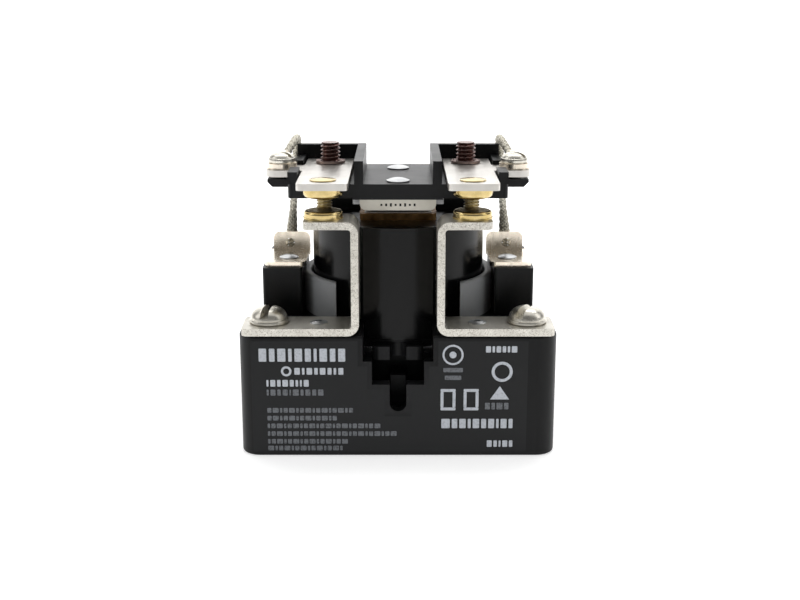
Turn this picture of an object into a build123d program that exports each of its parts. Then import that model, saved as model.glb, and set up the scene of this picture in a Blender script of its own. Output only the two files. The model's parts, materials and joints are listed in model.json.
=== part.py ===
"""Open power relay with two normally open poles, a vertical coil and a clapper armature.

Millimetres. The origin is the centre of the base's underside, +Z is up and the terminals
with the screws face -Y. Depths in this script are measured back from the base's front face.
"""
import os
from math import radians, sin, tan

from build123d import *

# General clearances
BEYOND = 1.0
LOOSE = 0.05
EASY = 0.3

# Base moulding
BASE_WIDTH = 63.5
BASE_DEPTH = 61.0
BASE_HEIGHT = 25.1
BASE_CORNER = 4.0
BAR_DEPTH = 10.2
BODY_HALF = 28.8
HALF_DEPTH = BASE_DEPTH / 2
HALF_WIDTH = BASE_WIDTH / 2
WALL = 2.8
FLOOR = 8.0
PLATFORM = 17.2
EDGE_ROUND = 0.5
NOTCH_HALF = 7.0
NOTCH_SILL = 19.9
STEP_HALF = 5.2
STEP_SILL = 15.1
SLOT_HALF = 1.67
SLOT_SILL = 9.5
KEY_HALF = 1.55
KEY_TOP = 14.1
KEY_FRONT = 9.2
POCKET_BACK = 15.0
REAR_POCKET_HALF = 10.4
REAR_POCKET_FRONT = 44.0
MOUNT_HOLE_RADIUS = 2.3
MOUNT_INSET = 5.6
SEAT_HOLE_RADIUS = 5.2
SEAT_HOLE_TOP = 9.0

# Coil
COIL_Y = 26.8
WRAP_RADIUS = 18.2
WRAP_SKIN = 0.8
COIL_BOTTOM = 21.8
COIL_TOP = 45.0
FLANGE_TOP = 44.3
FLANGE_SKIN = 1.2
BOBBIN_BOTTOM = 20.2
BOBBIN_TUBE = 1.2
SHELF_HALF = 15.5
SHELF_FRONT = 33.0
SHELF_BACK = 45.4
SHELF_TOP = 45.6
SHELF_POST_INNER = 10.0
SHELF_POST_BACK = 36.0
SHELF_POST_TOP = 48.0
WELL_RADIUS = 18.5
CUFF_RADIUS = 20.5
CUFF_TOP = 33.2
CUFF_ROUND = 0.7
CUFF_FRONT_HALF = 12.7
CUFF_BACK = 35.8
TONGUE_FRONT = 5.6
TONGUE_BACK = 17.5
TONGUE_BOTTOM = 18.5
TONGUE_TOP = 21.3
TONGUE_CORNER = 1.3
TONGUE_NOTCH = 1.7
TONGUE_NOTCH_Y = 6.9
BLADE_INNER = 11.2
BLADE_OUTER = 17.55
BLADE_FRONT = 53.0
BLADE_BACK = 53.8
BLADE_TOP = 33.6
BLADE_FOOT_FRONT = 50.5
BLADE_FOOT_SKIN = 0.8
BLADE_CHAMFER = 1.2
BLADE_HOLE = (14.4, 30.2)
BLADE_HOLE_RADIUS = 0.8
LEAD_RADIUS = 0.7
LEAD_BEND = 2.2
LEAD_ROUTE = [(9.0, 43.4, 30.0), (10.6, 46.6, 29.2), (13.2, 49.6, 27.6), (14.3, 52.2, 26.9)]

# Magnet
CORE_WIDTH = 14.1
CORE_DEPTH = 9.0
CORE_TAP_RADIUS = 2.5
CORE_TAP_DEPTH = 9.0
CORE_SCREW_HEAD = 4.4
CORE_SCREW_FOOT = 5.6
CORE_SCREW_REACH = 8.5
CORE_SCREW_SLOT = (0.5, 1.2)
RING_SKIN = 1.0
RING_BOTTOM = 44.3
RING_TOP = 45.7
RING_CORNER = 1.2
POLE_TOP = 45.87
HEEL_HALF = 9.0
HEEL_START = 18.0
HEEL_FRONT = 45.7
HEEL_SKIN = 3.0
HEEL_BEND = 2.0
PLATE_SKIN = 2.2
PLATE_BOTTOM = 45.9
PLATE_HALF = 7.65
PLATE_FRONT = 10.2
PLATE_ROUND = 1.3

# Armature hinge
HINGE_Y = 51.8
HINGE_Z = PLATE_BOTTOM + PLATE_SKIN / 2
OPEN_ANGLE = 3.5
PIN_RADIUS = 1.2
PIN_TAIL = 0.6
PIN_HEAD_RADIUS = 1.9
PIN_HEAD_SKIN = 0.9
KNUCKLE_RADIUS = 2.4
CHEEK_INNER = 8.0
CHEEK_SKIN = 1.6
CHEEK_BOTTOM = 34.0
CHEEK_BACK = HINGE_Y + 3.2
CHEEK_TOP = HINGE_Z + 2.8
CHEEK_ROUND = 2.4
BRACKET_SKIN = 1.4
BRACKET_FRONT = HEEL_FRONT + HEEL_SKIN
BRACKET_BACK = BRACKET_FRONT + BRACKET_SKIN
BRACKET_BOTTOM = 26.0
BRACKET_TOP = 43.6
BRACKET_HALF = CHEEK_INNER + CHEEK_SKIN
BRACKET_RIVET_RADIUS = 1.4
BRACKET_RIVET_HEAD = 2.3
BRACKET_RIVET_RISE = 0.8
RIVET_LEVELS = (32.0, 40.0)
TAIL_END = 59.4
TAIL_HALF = 4.4
TAIL_HALF_SKIN = 0.7
TAIL_CORNER = 1.5
TAIL_HOLE_RADIUS = 0.9
STOP_TAB_HALF = 4.0
STOP_TAB_FRONT = 54.7
STOP_TAB_BACK = 55.9
STOP_TAB_BOTTOM = 35.0
STOP_TAB_SKIN = 1.2
STOP_TAB_TOP = HINGE_Z - TAIL_HALF_SKIN - 0.4
STOP_LIP = (33.9, 38.1)
STOP_LIP_SKIN = 0.8
STOP_LIP_GAP = 2.4
SPRING_Y = 58.0
SPRING_RADIUS = 1.6
SPRING_WALL = 0.55
SPRING_CAP = 0.4
SPRING_WIRE = 0.3
SPRING_LOW = 30.2
SPRING_HIGH = 43.6
SPRING_HOOK_BOTTOM = 27.0
SPRING_HOOK_TOP = HINGE_Z + 0.5
ANCHOR_TOP = 29.0
ANCHOR_SKIN = 1.4
ANCHOR_HALF = 3.0
ANCHOR_END = TAIL_END + 0.4
ANCHOR_CORNER = 1.4
ANCHOR_HOLE_RADIUS = 0.5

# Terminals
STRAP = 1.5
STRAP_DEPTH = 9.525
STRAP_OUTER = 31.0
STRAP_INNER = 7.7
STRAP_TOP = 47.95
STRAP_REACH = 18.4
STRAP_OUTSIDE_BEND = 2.4
STRAP_INSIDE_BEND = 0.6
STRAP_CORNER = 1.2
SCREW_X = 25.9
SCREW_Y = 5.5
SCREW_HEAD = 3.95
SCREW_BRIM = 0.8
SCREW_RISE = 2.6
SCREW_SLOT_HALF = 0.8
SCREW_SLOT_FLOOR = 1.4
SCREW_SHANK = 2.07
SCREW_LENGTH = 7.0
SCREW_POINT = 0.4
SCREW_HOLE_DEPTH = 8.5
FOOT_RIVET_X = 15.9
FOOT_RIVET_Y = 4.9
FOOT_RIVET_HEAD = (1.8, 0.15, 0.3)
FOOT_RIVET_BORE = 0.7
FOOT_RIVET_BORE_DEPTH = 1.5
SMALL_RIVET_SHANK = 1.1
SMALL_RIVET_LENGTH = 3.8
SMALL_RIVET_HOLE = 4.0
TAB_CENTRE = 23.1
TAB_HALF = 3.95
TAB_Y = 29.5
TAB_SKIN = 1.0
TAB_TOP = 40.2
TAB_CORNER = 1.4
TAB_HOLE = (23.5, 37.8)
TAB_HOLE_RADIUS = 1.0
TAB_FOOT_INNER = 19.3
TAB_FOOT_OUTER = 27.9
TAB_FOOT_FRONT = 17.2
TAB_FOOT_CORNER = 1.6
TAB_RIVET_Y = 22.0
TAB_RIVET_HEAD = (2.0, 0.2, 0.5)
BLOCK_INNER = 20.0
BLOCK_OUTER = 28.2
BLOCK_FRONT = 16.0
BLOCK_BACK = 38.0
BLOCK_TOP = 35.2
BLOCK_CORNER = 0.6

# Contacts and contact arms
CONTACT_X = 14.65
CONTACT_Y = 5.0
CONTACT_RADIUS = 3.95
FIXED_TOP = 49.5
FIXED_BRIM = 0.3
FIXED_STEP = 0.15
FIXED_ROUND = 0.55
CONTACT_PEEN = (2.3, 0.5)
CONTACT_SHANK = 1.5
MOVING_BOTTOM = 52.1
MOVING_ROUND = 1.0
MOVING_HEAD = (2.6, 0.2, 0.25)
ARM_HALF = 5.0
ARM_FRONT = 0.4
ARM_BACK = 35.4
ARM_BOTTOM = 54.0
ARM_SKIN = 1.35
ARM_TOP = ARM_BOTTOM + ARM_SKIN
ARM_CORNER = 0.9
EAR_FRONT = 17.3
EAR_BACK = 25.6
EAR_REACH = 27.2
EAR_CORNER = 2.2
EAR_SCREW_X = 24.1
EAR_SCREW_Y = 21.5
EAR_SCREW_SHANK = 1.7
EAR_SCREW_BOTTOM = 52.9
EAR_SCREW_HEAD = (2.8, 1.0, 1.2)
EAR_SCREW_SLOT = (0.4, 1.3)
LUG_SKIN = 1.1
LUG_RADIUS = 3.1
LUG_NECK = 1.3
BARREL_RADIUS = 1.45
BARREL_MIDDLE = 26.2
BARREL_LENGTH = 3.2
BARREL_BORE = 0.95
POST_X = 14.4
POST_Y = 28.6
POST_RADIUS = 2.08
POST_TOP = 59.8
POST_POINT = 0.35
POST_PLAY = 0.35
POST_RING = (0.15, 0.6)
POST_RING_RADIUS = 3.1
STOP_X = 15.1
STOP_Y = 16.2
STOP_RADIUS = 1.65
STOP_BOTTOM = 47.55
STOP_POINT = 0.3
FULCRUM_FRONT = 33.9
FULCRUM_BACK = 34.6

# Contact carrier
CARRIER_HALF = 22.0
CARRIER_FRONT = 9.7
CARRIER_BACK = 37.6
CARRIER_BOTTOM = 50.95
CARRIER_TOP = 53.8
RIB_INNER = 6.93
RIB_OUTER = 8.75
RIBS_TOP = 58.4
SIDE_INNER = 20.05
SIDE_TOP = 56.2
CARRIER_CORNER = 1.0
REAR_WALL = 1.9
SIDE_GAP_FRONT = 16.8
SIDE_GAP_BACK = 26.1
SEAT_HALF = 9.0
SEAT_BOTTOM = 47.0
SHELF_LUG = (52.0, 53.6)
SHELF_LUG_REACH = 26.8
SHELF_LUG_CHAMFER = 1.0
EAR_SCREW_HOLE = 2.1
CARRIER_RIVETS = (13.5, 31.0)
CARRIER_RIVET_HEAD = (2.35, 0.25, 0.55)
CARRIER_RIVET_SHANK = 1.5

# Pigtails
BRAID_RADIUS = 0.85
BRAID_START = 56.8
BRAID_ROUTE = [
    (EAR_SCREW_X, 25.4, BRAID_START),
    (EAR_SCREW_X, 28.6, BRAID_START),
    (22.5, 33.6, 59.5),
    (22.0, 38.9, 59.7),
    (23.0, 42.6, 55.4),
    (23.2, 41.6, 49.6),
    (23.2, 37.6, 45.7),
    (TAB_CENTRE, 33.2, 42.9),
    (TAB_HOLE[0], 31.4, 36.6),
]
BRAID_EASE = 0.45
BRAID_LARGEST_BEND = 60.0

BOTH_SIDES = {"right": 1, "left": -1}


def block(x_span, y_span, z_span):
    """A box between two corners, its depths measured back from the front face."""
    centre = [(low + high) / 2 for low, high in (x_span, y_span, z_span)]
    size = [high - low for low, high in (x_span, y_span, z_span)]
    return Pos(centre[0], centre[1] - HALF_DEPTH, centre[2]) * Box(*size)


def disc(x, y, z_span, radius):
    """An upright cylinder."""
    low, high = z_span
    return Pos(x, y - HALF_DEPTH, (low + high) / 2) * Cylinder(radius, high - low)


def cross_bar(x_span, y, z, radius):
    """A cylinder lying along X."""
    low, high = x_span
    return Pos((low + high) / 2, y - HALF_DEPTH, z) * Rot(0, 90, 0) * Cylinder(radius, high - low)


def deep_bar(x, y_span, z, radius):
    """A cylinder lying along Y."""
    low, high = y_span
    return Pos(x, (low + high) / 2 - HALF_DEPTH, z) * Rot(90, 0, 0) * Cylinder(radius, high - low)


def domed_head(x, y, bottom, sizes):
    """A low round head: a straight brim under a dome. Sizes are radius, brim and rise."""
    radius, brim, rise = sizes
    dome_radius = (radius**2 + rise**2) / (2 * rise)
    ball = Pos(x, y - HALF_DEPTH, bottom + brim + rise - dome_radius) * Sphere(dome_radius)
    return disc(x, y, (bottom, bottom + brim + rise), radius) & ball


def near_edges(shape, axis, points, reach=0.05):
    """The edges along an axis whose middles lie close to the given points."""
    chosen = []
    for edge in shape.edges().filter_by(axis):
        middle = edge @ 0.5
        for x, y, z in points:
            gaps = [abs(middle.X - x) if x is not None else 0]
            gaps.append(abs(middle.Y + HALF_DEPTH - y) if y is not None else 0)
            gaps.append(abs(middle.Z - z) if z is not None else 0)
            if max(gaps) < reach:
                chosen.append(edge)
    return chosen


def on_side(shape, sign):
    """The right-hand piece, or its mirror image for the left."""
    return shape if sign > 0 else mirror(shape, about=Plane.YZ)


def swing(shape, angle):
    """Turn a shape about the armature's hinge axis."""
    to_hinge = Pos(0, HINGE_Y - HALF_DEPTH, HINGE_Z)
    return to_hinge * Rot(angle, 0, 0) * to_hinge.inverse() * shape


def save(name, shape):
    """Write one named node."""
    shape.label = name
    export_step(shape, f"parts/{name}.step")


def together(solids):
    """Separate solids that share one node."""
    return Compound(children=[solid for piece in solids for solid in piece.solids()])


def with_mirror(shape):
    """A shape and its mirror image, joined."""
    return shape + mirror(shape, about=Plane.YZ)


# --- Base -------------------------------------------------------------------------------

def terminal_blocks():
    """The two raised blocks that carry the rear terminals."""
    span = (BASE_HEIGHT - BEYOND, BLOCK_TOP)
    terminal_block = block((BLOCK_INNER, BLOCK_OUTER), (BLOCK_FRONT, BLOCK_BACK), span)
    terminal_block = fillet(terminal_block.edges().filter_by(Axis.Z), BLOCK_CORNER)
    return with_mirror(terminal_block)


def front_opening():
    """The stepped notch and its narrow slot in the front wall, with the pocket behind."""
    through = (-BEYOND, WALL + LOOSE)
    top = BASE_HEIGHT + BEYOND
    slot_middle = SLOT_SILL + SLOT_HALF
    opening = block((-NOTCH_HALF, NOTCH_HALF), through, (NOTCH_SILL, top))
    opening += block((-STEP_HALF, STEP_HALF), through, (STEP_SILL, top))
    opening += block((-SLOT_HALF, SLOT_HALF), through, (slot_middle, top))
    opening += deep_bar(0, through, slot_middle, SLOT_HALF)
    return opening + block((-NOTCH_HALF, NOTCH_HALF), (WALL, POCKET_BACK), (FLOOR, top))


def rear_opening():
    """The pocket behind the coil, with a slot for the magnet frame in front of it."""
    top = BASE_HEIGHT + BEYOND
    frame_half = HEEL_HALF + EASY
    pocket_span = (REAR_POCKET_FRONT, BASE_DEPTH - WALL)
    pocket = block((-REAR_POCKET_HALF, REAR_POCKET_HALF), pocket_span, (FLOOR, top))
    frame_span = (COIL_Y, REAR_POCKET_FRONT + BEYOND)
    return pocket + block((-frame_half, frame_half), frame_span, (PLATFORM, top))


def fastener_holes():
    """Holes for the terminal screws, the rivets and the core screw."""
    screw_span = (BASE_HEIGHT - SCREW_HOLE_DEPTH, BASE_HEIGHT + BEYOND)
    foot_span = (BASE_HEIGHT - SMALL_RIVET_HOLE, BASE_HEIGHT + BEYOND)
    block_span = (BLOCK_TOP - SMALL_RIVET_HOLE, BLOCK_TOP + BEYOND)
    holes = disc(SCREW_X, SCREW_Y, screw_span, SCREW_SHANK + SCREW_POINT)
    holes += disc(FOOT_RIVET_X, FOOT_RIVET_Y, foot_span, SMALL_RIVET_SHANK)
    holes += disc(TAB_CENTRE, TAB_RIVET_Y, block_span, SMALL_RIVET_SHANK)
    holes = with_mirror(holes)
    holes += disc(0, COIL_Y, (-BEYOND, SEAT_HOLE_TOP), SEAT_HOLE_RADIUS)
    return holes + disc(0, COIL_Y, (FLOOR, PLATFORM + BEYOND), CORE_TAP_RADIUS + EASY)


def base_blank():
    """The outline of the moulding: a wide front bar on a narrower body."""
    levels = (0, BASE_HEIGHT)
    bar = block((-HALF_WIDTH, HALF_WIDTH), (0, BAR_DEPTH), levels)
    corners = [(x, 0, None) for x in (-HALF_WIDTH, HALF_WIDTH)]
    bar = fillet(near_edges(bar, Axis.Z, corners), BASE_CORNER)
    body = block((-BODY_HALF, BODY_HALF), (BAR_DEPTH / 2, BASE_DEPTH), levels)
    corners = [(x, BASE_DEPTH, None) for x in (-BODY_HALF, BODY_HALF)]
    body = fillet(near_edges(body, Axis.Z, corners), BASE_CORNER)
    blank = bar + body
    rims = blank.edges().group_by(Axis.Z)
    return fillet(rims[0] + rims[-1], EDGE_ROUND)


def base():
    """The one-piece moulding that carries everything."""
    body = base_blank() + terminal_blocks()
    body -= disc(0, COIL_Y, (PLATFORM, BASE_HEIGHT + BEYOND), WELL_RADIUS)
    body -= rear_opening()
    body -= front_opening()
    for y in (MOUNT_INSET, BASE_DEPTH - MOUNT_INSET):
        body -= disc(0, y, (-BEYOND, FLOOR + BEYOND), MOUNT_HOLE_RADIUS)
    return body - fastener_holes()


def coil_cuff():
    """A curved wall on the deck that hugs one side of the coil."""
    span = (BASE_HEIGHT, CUFF_TOP)
    above = (0, CUFF_TOP + BEYOND)
    ring = disc(0, COIL_Y, span, CUFF_RADIUS) - disc(0, COIL_Y, span, WELL_RADIUS)
    ring = fillet(ring.edges().group_by(Axis.Z)[-1], CUFF_ROUND)
    ring -= block((-CUFF_RADIUS, CUFF_FRONT_HALF), (0, COIL_Y), above)
    ring -= block((-CUFF_RADIUS, 0), (0, BASE_DEPTH), above)
    ring -= block((0, CUFF_RADIUS), (CUFF_BACK, BASE_DEPTH), above)
    return ring - terminal_blocks()


def locating_key():
    """The small upright key at the back of the front pocket."""
    return block((-KEY_HALF, KEY_HALF), (KEY_FRONT, POCKET_BACK), (FLOOR, KEY_TOP))


# --- Magnet and coil --------------------------------------------------------------------

def heelpiece():
    """The L-shaped magnetic frame: a leg under the coil and an upright behind it."""
    back = HEEL_FRONT + HEEL_SKIN
    leg = block((-HEEL_HALF, HEEL_HALF), (HEEL_START, back), (PLATFORM, BOBBIN_BOTTOM))
    upright = block((-HEEL_HALF, HEEL_HALF), (HEEL_FRONT, back), (PLATFORM, POLE_TOP))
    frame = leg + upright
    frame = fillet(near_edges(frame, Axis.X, [(0, back, PLATFORM)]), HEEL_BEND)
    frame -= disc(0, COIL_Y, (PLATFORM - BEYOND, BOBBIN_BOTTOM + BEYOND), CORE_TAP_RADIUS + LOOSE)
    for z in RIVET_LEVELS:
        frame -= deep_bar(0, (HEEL_FRONT - BEYOND, back + BEYOND), z, BRACKET_RIVET_RADIUS)
    return frame


def core_bar(margin, span):
    """A rectangular bar on the core's axis, wider than the core by a margin all round."""
    half_width = CORE_WIDTH / 2 + margin
    half_depth = CORE_DEPTH / 2 + margin
    return block((-half_width, half_width), (COIL_Y - half_depth, COIL_Y + half_depth), span)


def core():
    """The laminated core, tapped from below."""
    tap = disc(0, COIL_Y, (BOBBIN_BOTTOM - BEYOND, BOBBIN_BOTTOM + CORE_TAP_DEPTH), CORE_TAP_RADIUS)
    return core_bar(0, (BOBBIN_BOTTOM, POLE_TOP)) - tap


def core_screw():
    """The screw that pulls core, frame and base together."""
    slot_half, slot_depth = CORE_SCREW_SLOT
    head = disc(0, COIL_Y, (CORE_SCREW_FOOT, SEAT_HOLE_TOP), CORE_SCREW_HEAD)
    shank = disc(0, COIL_Y, (SEAT_HOLE_TOP, BOBBIN_BOTTOM + CORE_SCREW_REACH), CORE_TAP_RADIUS)
    slot_span = (COIL_Y - SEAT_HOLE_RADIUS, COIL_Y + SEAT_HOLE_RADIUS)
    slot_levels = (CORE_SCREW_FOOT - BEYOND, CORE_SCREW_FOOT + slot_depth)
    return head + shank - block((-slot_half, slot_half), slot_span, slot_levels)


def shading_ring():
    """The copper ring round the pole face that quiets an alternating field."""
    span = (RING_BOTTOM, RING_TOP)
    ring = core_bar(RING_SKIN, span)
    ring = fillet(ring.edges().filter_by(Axis.Z), RING_CORNER)
    return ring - core_bar(0, span)


def bobbin_shelf():
    """The square back of the upper flange, with a post on each side for the lead-outs."""
    y_span = (SHELF_FRONT, SHELF_BACK)
    riser = disc(0, COIL_Y, (FLANGE_TOP - LOOSE, SHELF_TOP), WRAP_RADIUS - WRAP_SKIN)
    riser &= block((-SHELF_HALF, SHELF_HALF), y_span, (FLANGE_TOP - LOOSE, SHELF_TOP))
    post_span = (SHELF_FRONT, SHELF_POST_BACK)
    post = block((SHELF_POST_INNER, SHELF_HALF), post_span, (COIL_TOP, SHELF_POST_TOP))
    shelf = block((-SHELF_HALF, SHELF_HALF), y_span, (COIL_TOP, SHELF_TOP))
    return riser + shelf + with_mirror(post)


def bobbin_tongue():
    """The notched tongue that reaches out from the lower flange over the front pocket."""
    span = (TONGUE_BOTTOM, TONGUE_TOP)
    through = (TONGUE_BOTTOM - BEYOND, COIL_BOTTOM + BEYOND)
    tongue = block((-STEP_HALF, STEP_HALF), (TONGUE_FRONT, TONGUE_BACK), span)
    corners = [(x, TONGUE_FRONT, None) for x in (-STEP_HALF, STEP_HALF)]
    tongue = fillet(near_edges(tongue, Axis.Z, corners), TONGUE_CORNER)
    tongue += disc(0, COIL_Y, (BOBBIN_BOTTOM, COIL_BOTTOM), WRAP_RADIUS)
    tongue -= disc(0, TONGUE_NOTCH_Y, through, TONGUE_NOTCH)
    return tongue - block((-TONGUE_NOTCH, TONGUE_NOTCH), (0, TONGUE_NOTCH_Y), through)


def coil_bobbin():
    """The moulded bobbin: a tube, a lower flange with its tongue and an upper flange."""
    body = bobbin_tongue()
    body += disc(0, COIL_Y, (FLANGE_TOP - FLANGE_SKIN, FLANGE_TOP), WRAP_RADIUS - WRAP_SKIN)
    body += bobbin_shelf()
    body += core_bar(BOBBIN_TUBE, (BOBBIN_BOTTOM, FLANGE_TOP))
    return body - core_bar(0, (BOBBIN_BOTTOM - BEYOND, SHELF_TOP + BEYOND))


def coil_winding():
    """The copper winding between the flanges."""
    span = (COIL_BOTTOM, FLANGE_TOP - FLANGE_SKIN)
    return disc(0, COIL_Y, span, WRAP_RADIUS - WRAP_SKIN) - core_bar(BOBBIN_TUBE, span)


def coil_wrap():
    """The glossy sleeve round the winding, standing a little above the upper flange."""
    span = (COIL_BOTTOM, COIL_TOP)
    return disc(0, COIL_Y, span, WRAP_RADIUS) - disc(0, COIL_Y, span, WRAP_RADIUS - WRAP_SKIN)


def coil_terminal():
    """One push-on blade for the coil, on the deck behind the coil."""
    x_span = (BLADE_INNER, BLADE_OUTER)
    middle = (BLADE_FRONT + BLADE_BACK) / 2
    corners = [(x, middle, BLADE_TOP) for x in x_span]
    blade = block(x_span, (BLADE_FRONT, BLADE_BACK), (BASE_HEIGHT, BLADE_TOP))
    blade = chamfer(near_edges(blade, Axis.Y, corners), BLADE_CHAMFER)
    hole_x, hole_z = BLADE_HOLE
    blade -= deep_bar(hole_x, (BLADE_FRONT - BEYOND, BLADE_BACK + BEYOND), hole_z, BLADE_HOLE_RADIUS)
    foot_levels = (BASE_HEIGHT, BASE_HEIGHT + BLADE_FOOT_SKIN)
    return blade + block(x_span, (BLADE_FOOT_FRONT, BLADE_BACK), foot_levels)


def tube_along(points, radii, radius):
    """A round tube along straight runs joined by tangent arcs."""
    placed = [Vector(x, y - HALF_DEPTH, z) for x, y, z in points]
    path = FilletPolyline(*placed, radius=radii)
    start = Plane(origin=placed[0], z_dir=placed[1] - placed[0])
    return sweep(start * Circle(radius), path=path)


def coil_lead():
    """One insulated lead from the winding to its blade."""
    return tube_along(LEAD_ROUTE, [LEAD_BEND] * (len(LEAD_ROUTE) - 2), LEAD_RADIUS)


# --- Armature hinge ---------------------------------------------------------------------

def bracket_cheeks():
    """The two cheeks that hold the hinge pin."""
    cheek = block((CHEEK_INNER, BRACKET_HALF), (BRACKET_FRONT, CHEEK_BACK), (CHEEK_BOTTOM, CHEEK_TOP))
    corners = [(None, BRACKET_FRONT, CHEEK_TOP), (None, CHEEK_BACK, CHEEK_TOP)]
    return with_mirror(fillet(near_edges(cheek, Axis.X, corners), CHEEK_ROUND))


def anchor_tab():
    """The tab that holds the lower end of the spring."""
    tab_span = (ANCHOR_TOP - ANCHOR_SKIN, ANCHOR_TOP)
    tab = block((-ANCHOR_HALF, ANCHOR_HALF), (BRACKET_FRONT, ANCHOR_END), tab_span)
    corners = [(ANCHOR_HALF, ANCHOR_END, None), (-ANCHOR_HALF, ANCHOR_END, None)]
    tab = fillet(near_edges(tab, Axis.Z, corners), ANCHOR_CORNER)
    return tab - disc(0, SPRING_Y, (SPRING_HOOK_BOTTOM, SPRING_LOW), ANCHOR_HOLE_RADIUS)


def hinge_bracket():
    """A bracket behind the frame with two cheeks for the pin and a tab for the spring."""
    pin_span = (-BRACKET_HALF - BEYOND, BRACKET_HALF + BEYOND)
    y_span = (BRACKET_FRONT, BRACKET_BACK)
    bracket = block((-BRACKET_HALF, BRACKET_HALF), y_span, (BRACKET_BOTTOM, BRACKET_TOP))
    bracket += bracket_cheeks()
    bracket += anchor_tab()
    bracket -= cross_bar(pin_span, HINGE_Y, HINGE_Z, PIN_RADIUS)
    for z in RIVET_LEVELS:
        rivet_span = (BRACKET_FRONT - BEYOND, BRACKET_BACK + BEYOND)
        bracket -= deep_bar(0, rivet_span, z, BRACKET_RIVET_RADIUS)
    return bracket


def bracket_rivets():
    """Two rivets through the frame and the hinge bracket."""
    rivets = []
    for z in RIVET_LEVELS:
        shank = deep_bar(0, (HEEL_FRONT, BRACKET_BACK), z, BRACKET_RIVET_RADIUS)
        head_span = (BRACKET_BACK, BRACKET_BACK + BRACKET_RIVET_RISE)
        rivets.append(shank + deep_bar(0, head_span, z, BRACKET_RIVET_HEAD))
    return together(rivets)


def hinge_pin():
    """The headed pin that the armature turns on."""
    pin = cross_bar((-BRACKET_HALF - PIN_TAIL, BRACKET_HALF), HINGE_Y, HINGE_Z, PIN_RADIUS)
    head_span = (BRACKET_HALF, BRACKET_HALF + PIN_HEAD_SKIN)
    return pin + cross_bar(head_span, HINGE_Y, HINGE_Z, PIN_HEAD_RADIUS)


def backstop():
    """A bent tab under the armature's tail that sets the open position."""
    x_span = (-STOP_TAB_HALF, STOP_TAB_HALF)
    lip_back = BRACKET_BACK + STOP_LIP_SKIN
    shelf_top = STOP_TAB_BOTTOM + STOP_TAB_SKIN
    foot = block(x_span, (lip_back, STOP_TAB_BACK), (STOP_TAB_BOTTOM, shelf_top))
    lip = block(x_span, (BRACKET_BACK, lip_back), STOP_LIP)
    gap_levels = (STOP_LIP[0] - BEYOND, STOP_LIP[1] + BEYOND)
    lip -= block((-STOP_LIP_GAP, STOP_LIP_GAP), (BRACKET_BACK - BEYOND, lip_back + LOOSE), gap_levels)
    riser = block(x_span, (STOP_TAB_FRONT, STOP_TAB_BACK), (shelf_top, STOP_TAB_TOP))
    return foot + lip + riser


def armature_tail():
    """The thin tail that the spring pulls down."""
    tail_levels = (HINGE_Z - TAIL_HALF_SKIN, HINGE_Z + TAIL_HALF_SKIN)
    tail = block((-TAIL_HALF, TAIL_HALF), (HINGE_Y, TAIL_END), tail_levels)
    corners = [(TAIL_HALF, TAIL_END, None), (-TAIL_HALF, TAIL_END, None)]
    tail = fillet(near_edges(tail, Axis.Z, corners), TAIL_CORNER)
    return tail - disc(0, SPRING_Y, (HINGE_Z - BEYOND, HINGE_Z + BEYOND), TAIL_HOLE_RADIUS)


def armature_plate():
    """The nickel-plated clapper with its knuckle and spring tail, drawn closed, then opened."""
    x_span = (-PLATE_HALF, PLATE_HALF)
    bore_span = (-PLATE_HALF - BEYOND, PLATE_HALF + BEYOND)
    plate = block(x_span, (PLATE_FRONT, HINGE_Y), (PLATE_BOTTOM, PLATE_BOTTOM + PLATE_SKIN))
    lower_sides = [(PLATE_HALF, None, PLATE_BOTTOM), (-PLATE_HALF, None, PLATE_BOTTOM)]
    plate = fillet(near_edges(plate, Axis.Y, lower_sides), PLATE_ROUND)
    plate += cross_bar(x_span, HINGE_Y, HINGE_Z, KNUCKLE_RADIUS)
    plate += armature_tail()
    plate -= cross_bar(bore_span, HINGE_Y, HINGE_Z, PIN_RADIUS + LOOSE)
    return swing(plate, -OPEN_ANGLE)


def return_spring():
    """The closed-wound extension spring between tail and anchor, with straight end hooks."""
    span = (SPRING_LOW, SPRING_HIGH)
    body = disc(0, SPRING_Y, span, SPRING_RADIUS)
    body -= disc(0, SPRING_Y, span, SPRING_RADIUS - SPRING_WALL)
    body += disc(0, SPRING_Y, (SPRING_HIGH - SPRING_CAP, SPRING_HIGH), SPRING_RADIUS)
    body += disc(0, SPRING_Y, (SPRING_LOW, SPRING_LOW + SPRING_CAP), SPRING_RADIUS)
    body += disc(0, SPRING_Y, (SPRING_HIGH, SPRING_HOOK_TOP), SPRING_WIRE)
    return body + disc(0, SPRING_Y, (SPRING_HOOK_BOTTOM, SPRING_LOW), SPRING_WIRE)


# --- Contact carrier --------------------------------------------------------------------

def below_plate_top():
    """Everything under the armature's upper face, in the open position."""
    x_span = (-HALF_WIDTH, HALF_WIDTH)
    space = block(x_span, (-BASE_DEPTH, HINGE_Y), (0, PLATE_BOTTOM + PLATE_SKIN))
    return swing(space, -OPEN_ANGLE)


def carrier_lug():
    """The small shelf under one arm's ear, thinner towards its end."""
    lug = block((CARRIER_HALF - LOOSE, SHELF_LUG_REACH), (EAR_FRONT, EAR_BACK), SHELF_LUG)
    lower_corner = [(SHELF_LUG_REACH, None, SHELF_LUG[0])]
    return chamfer(near_edges(lug, Axis.Y, lower_corner), SHELF_LUG_CHAMFER)


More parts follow.
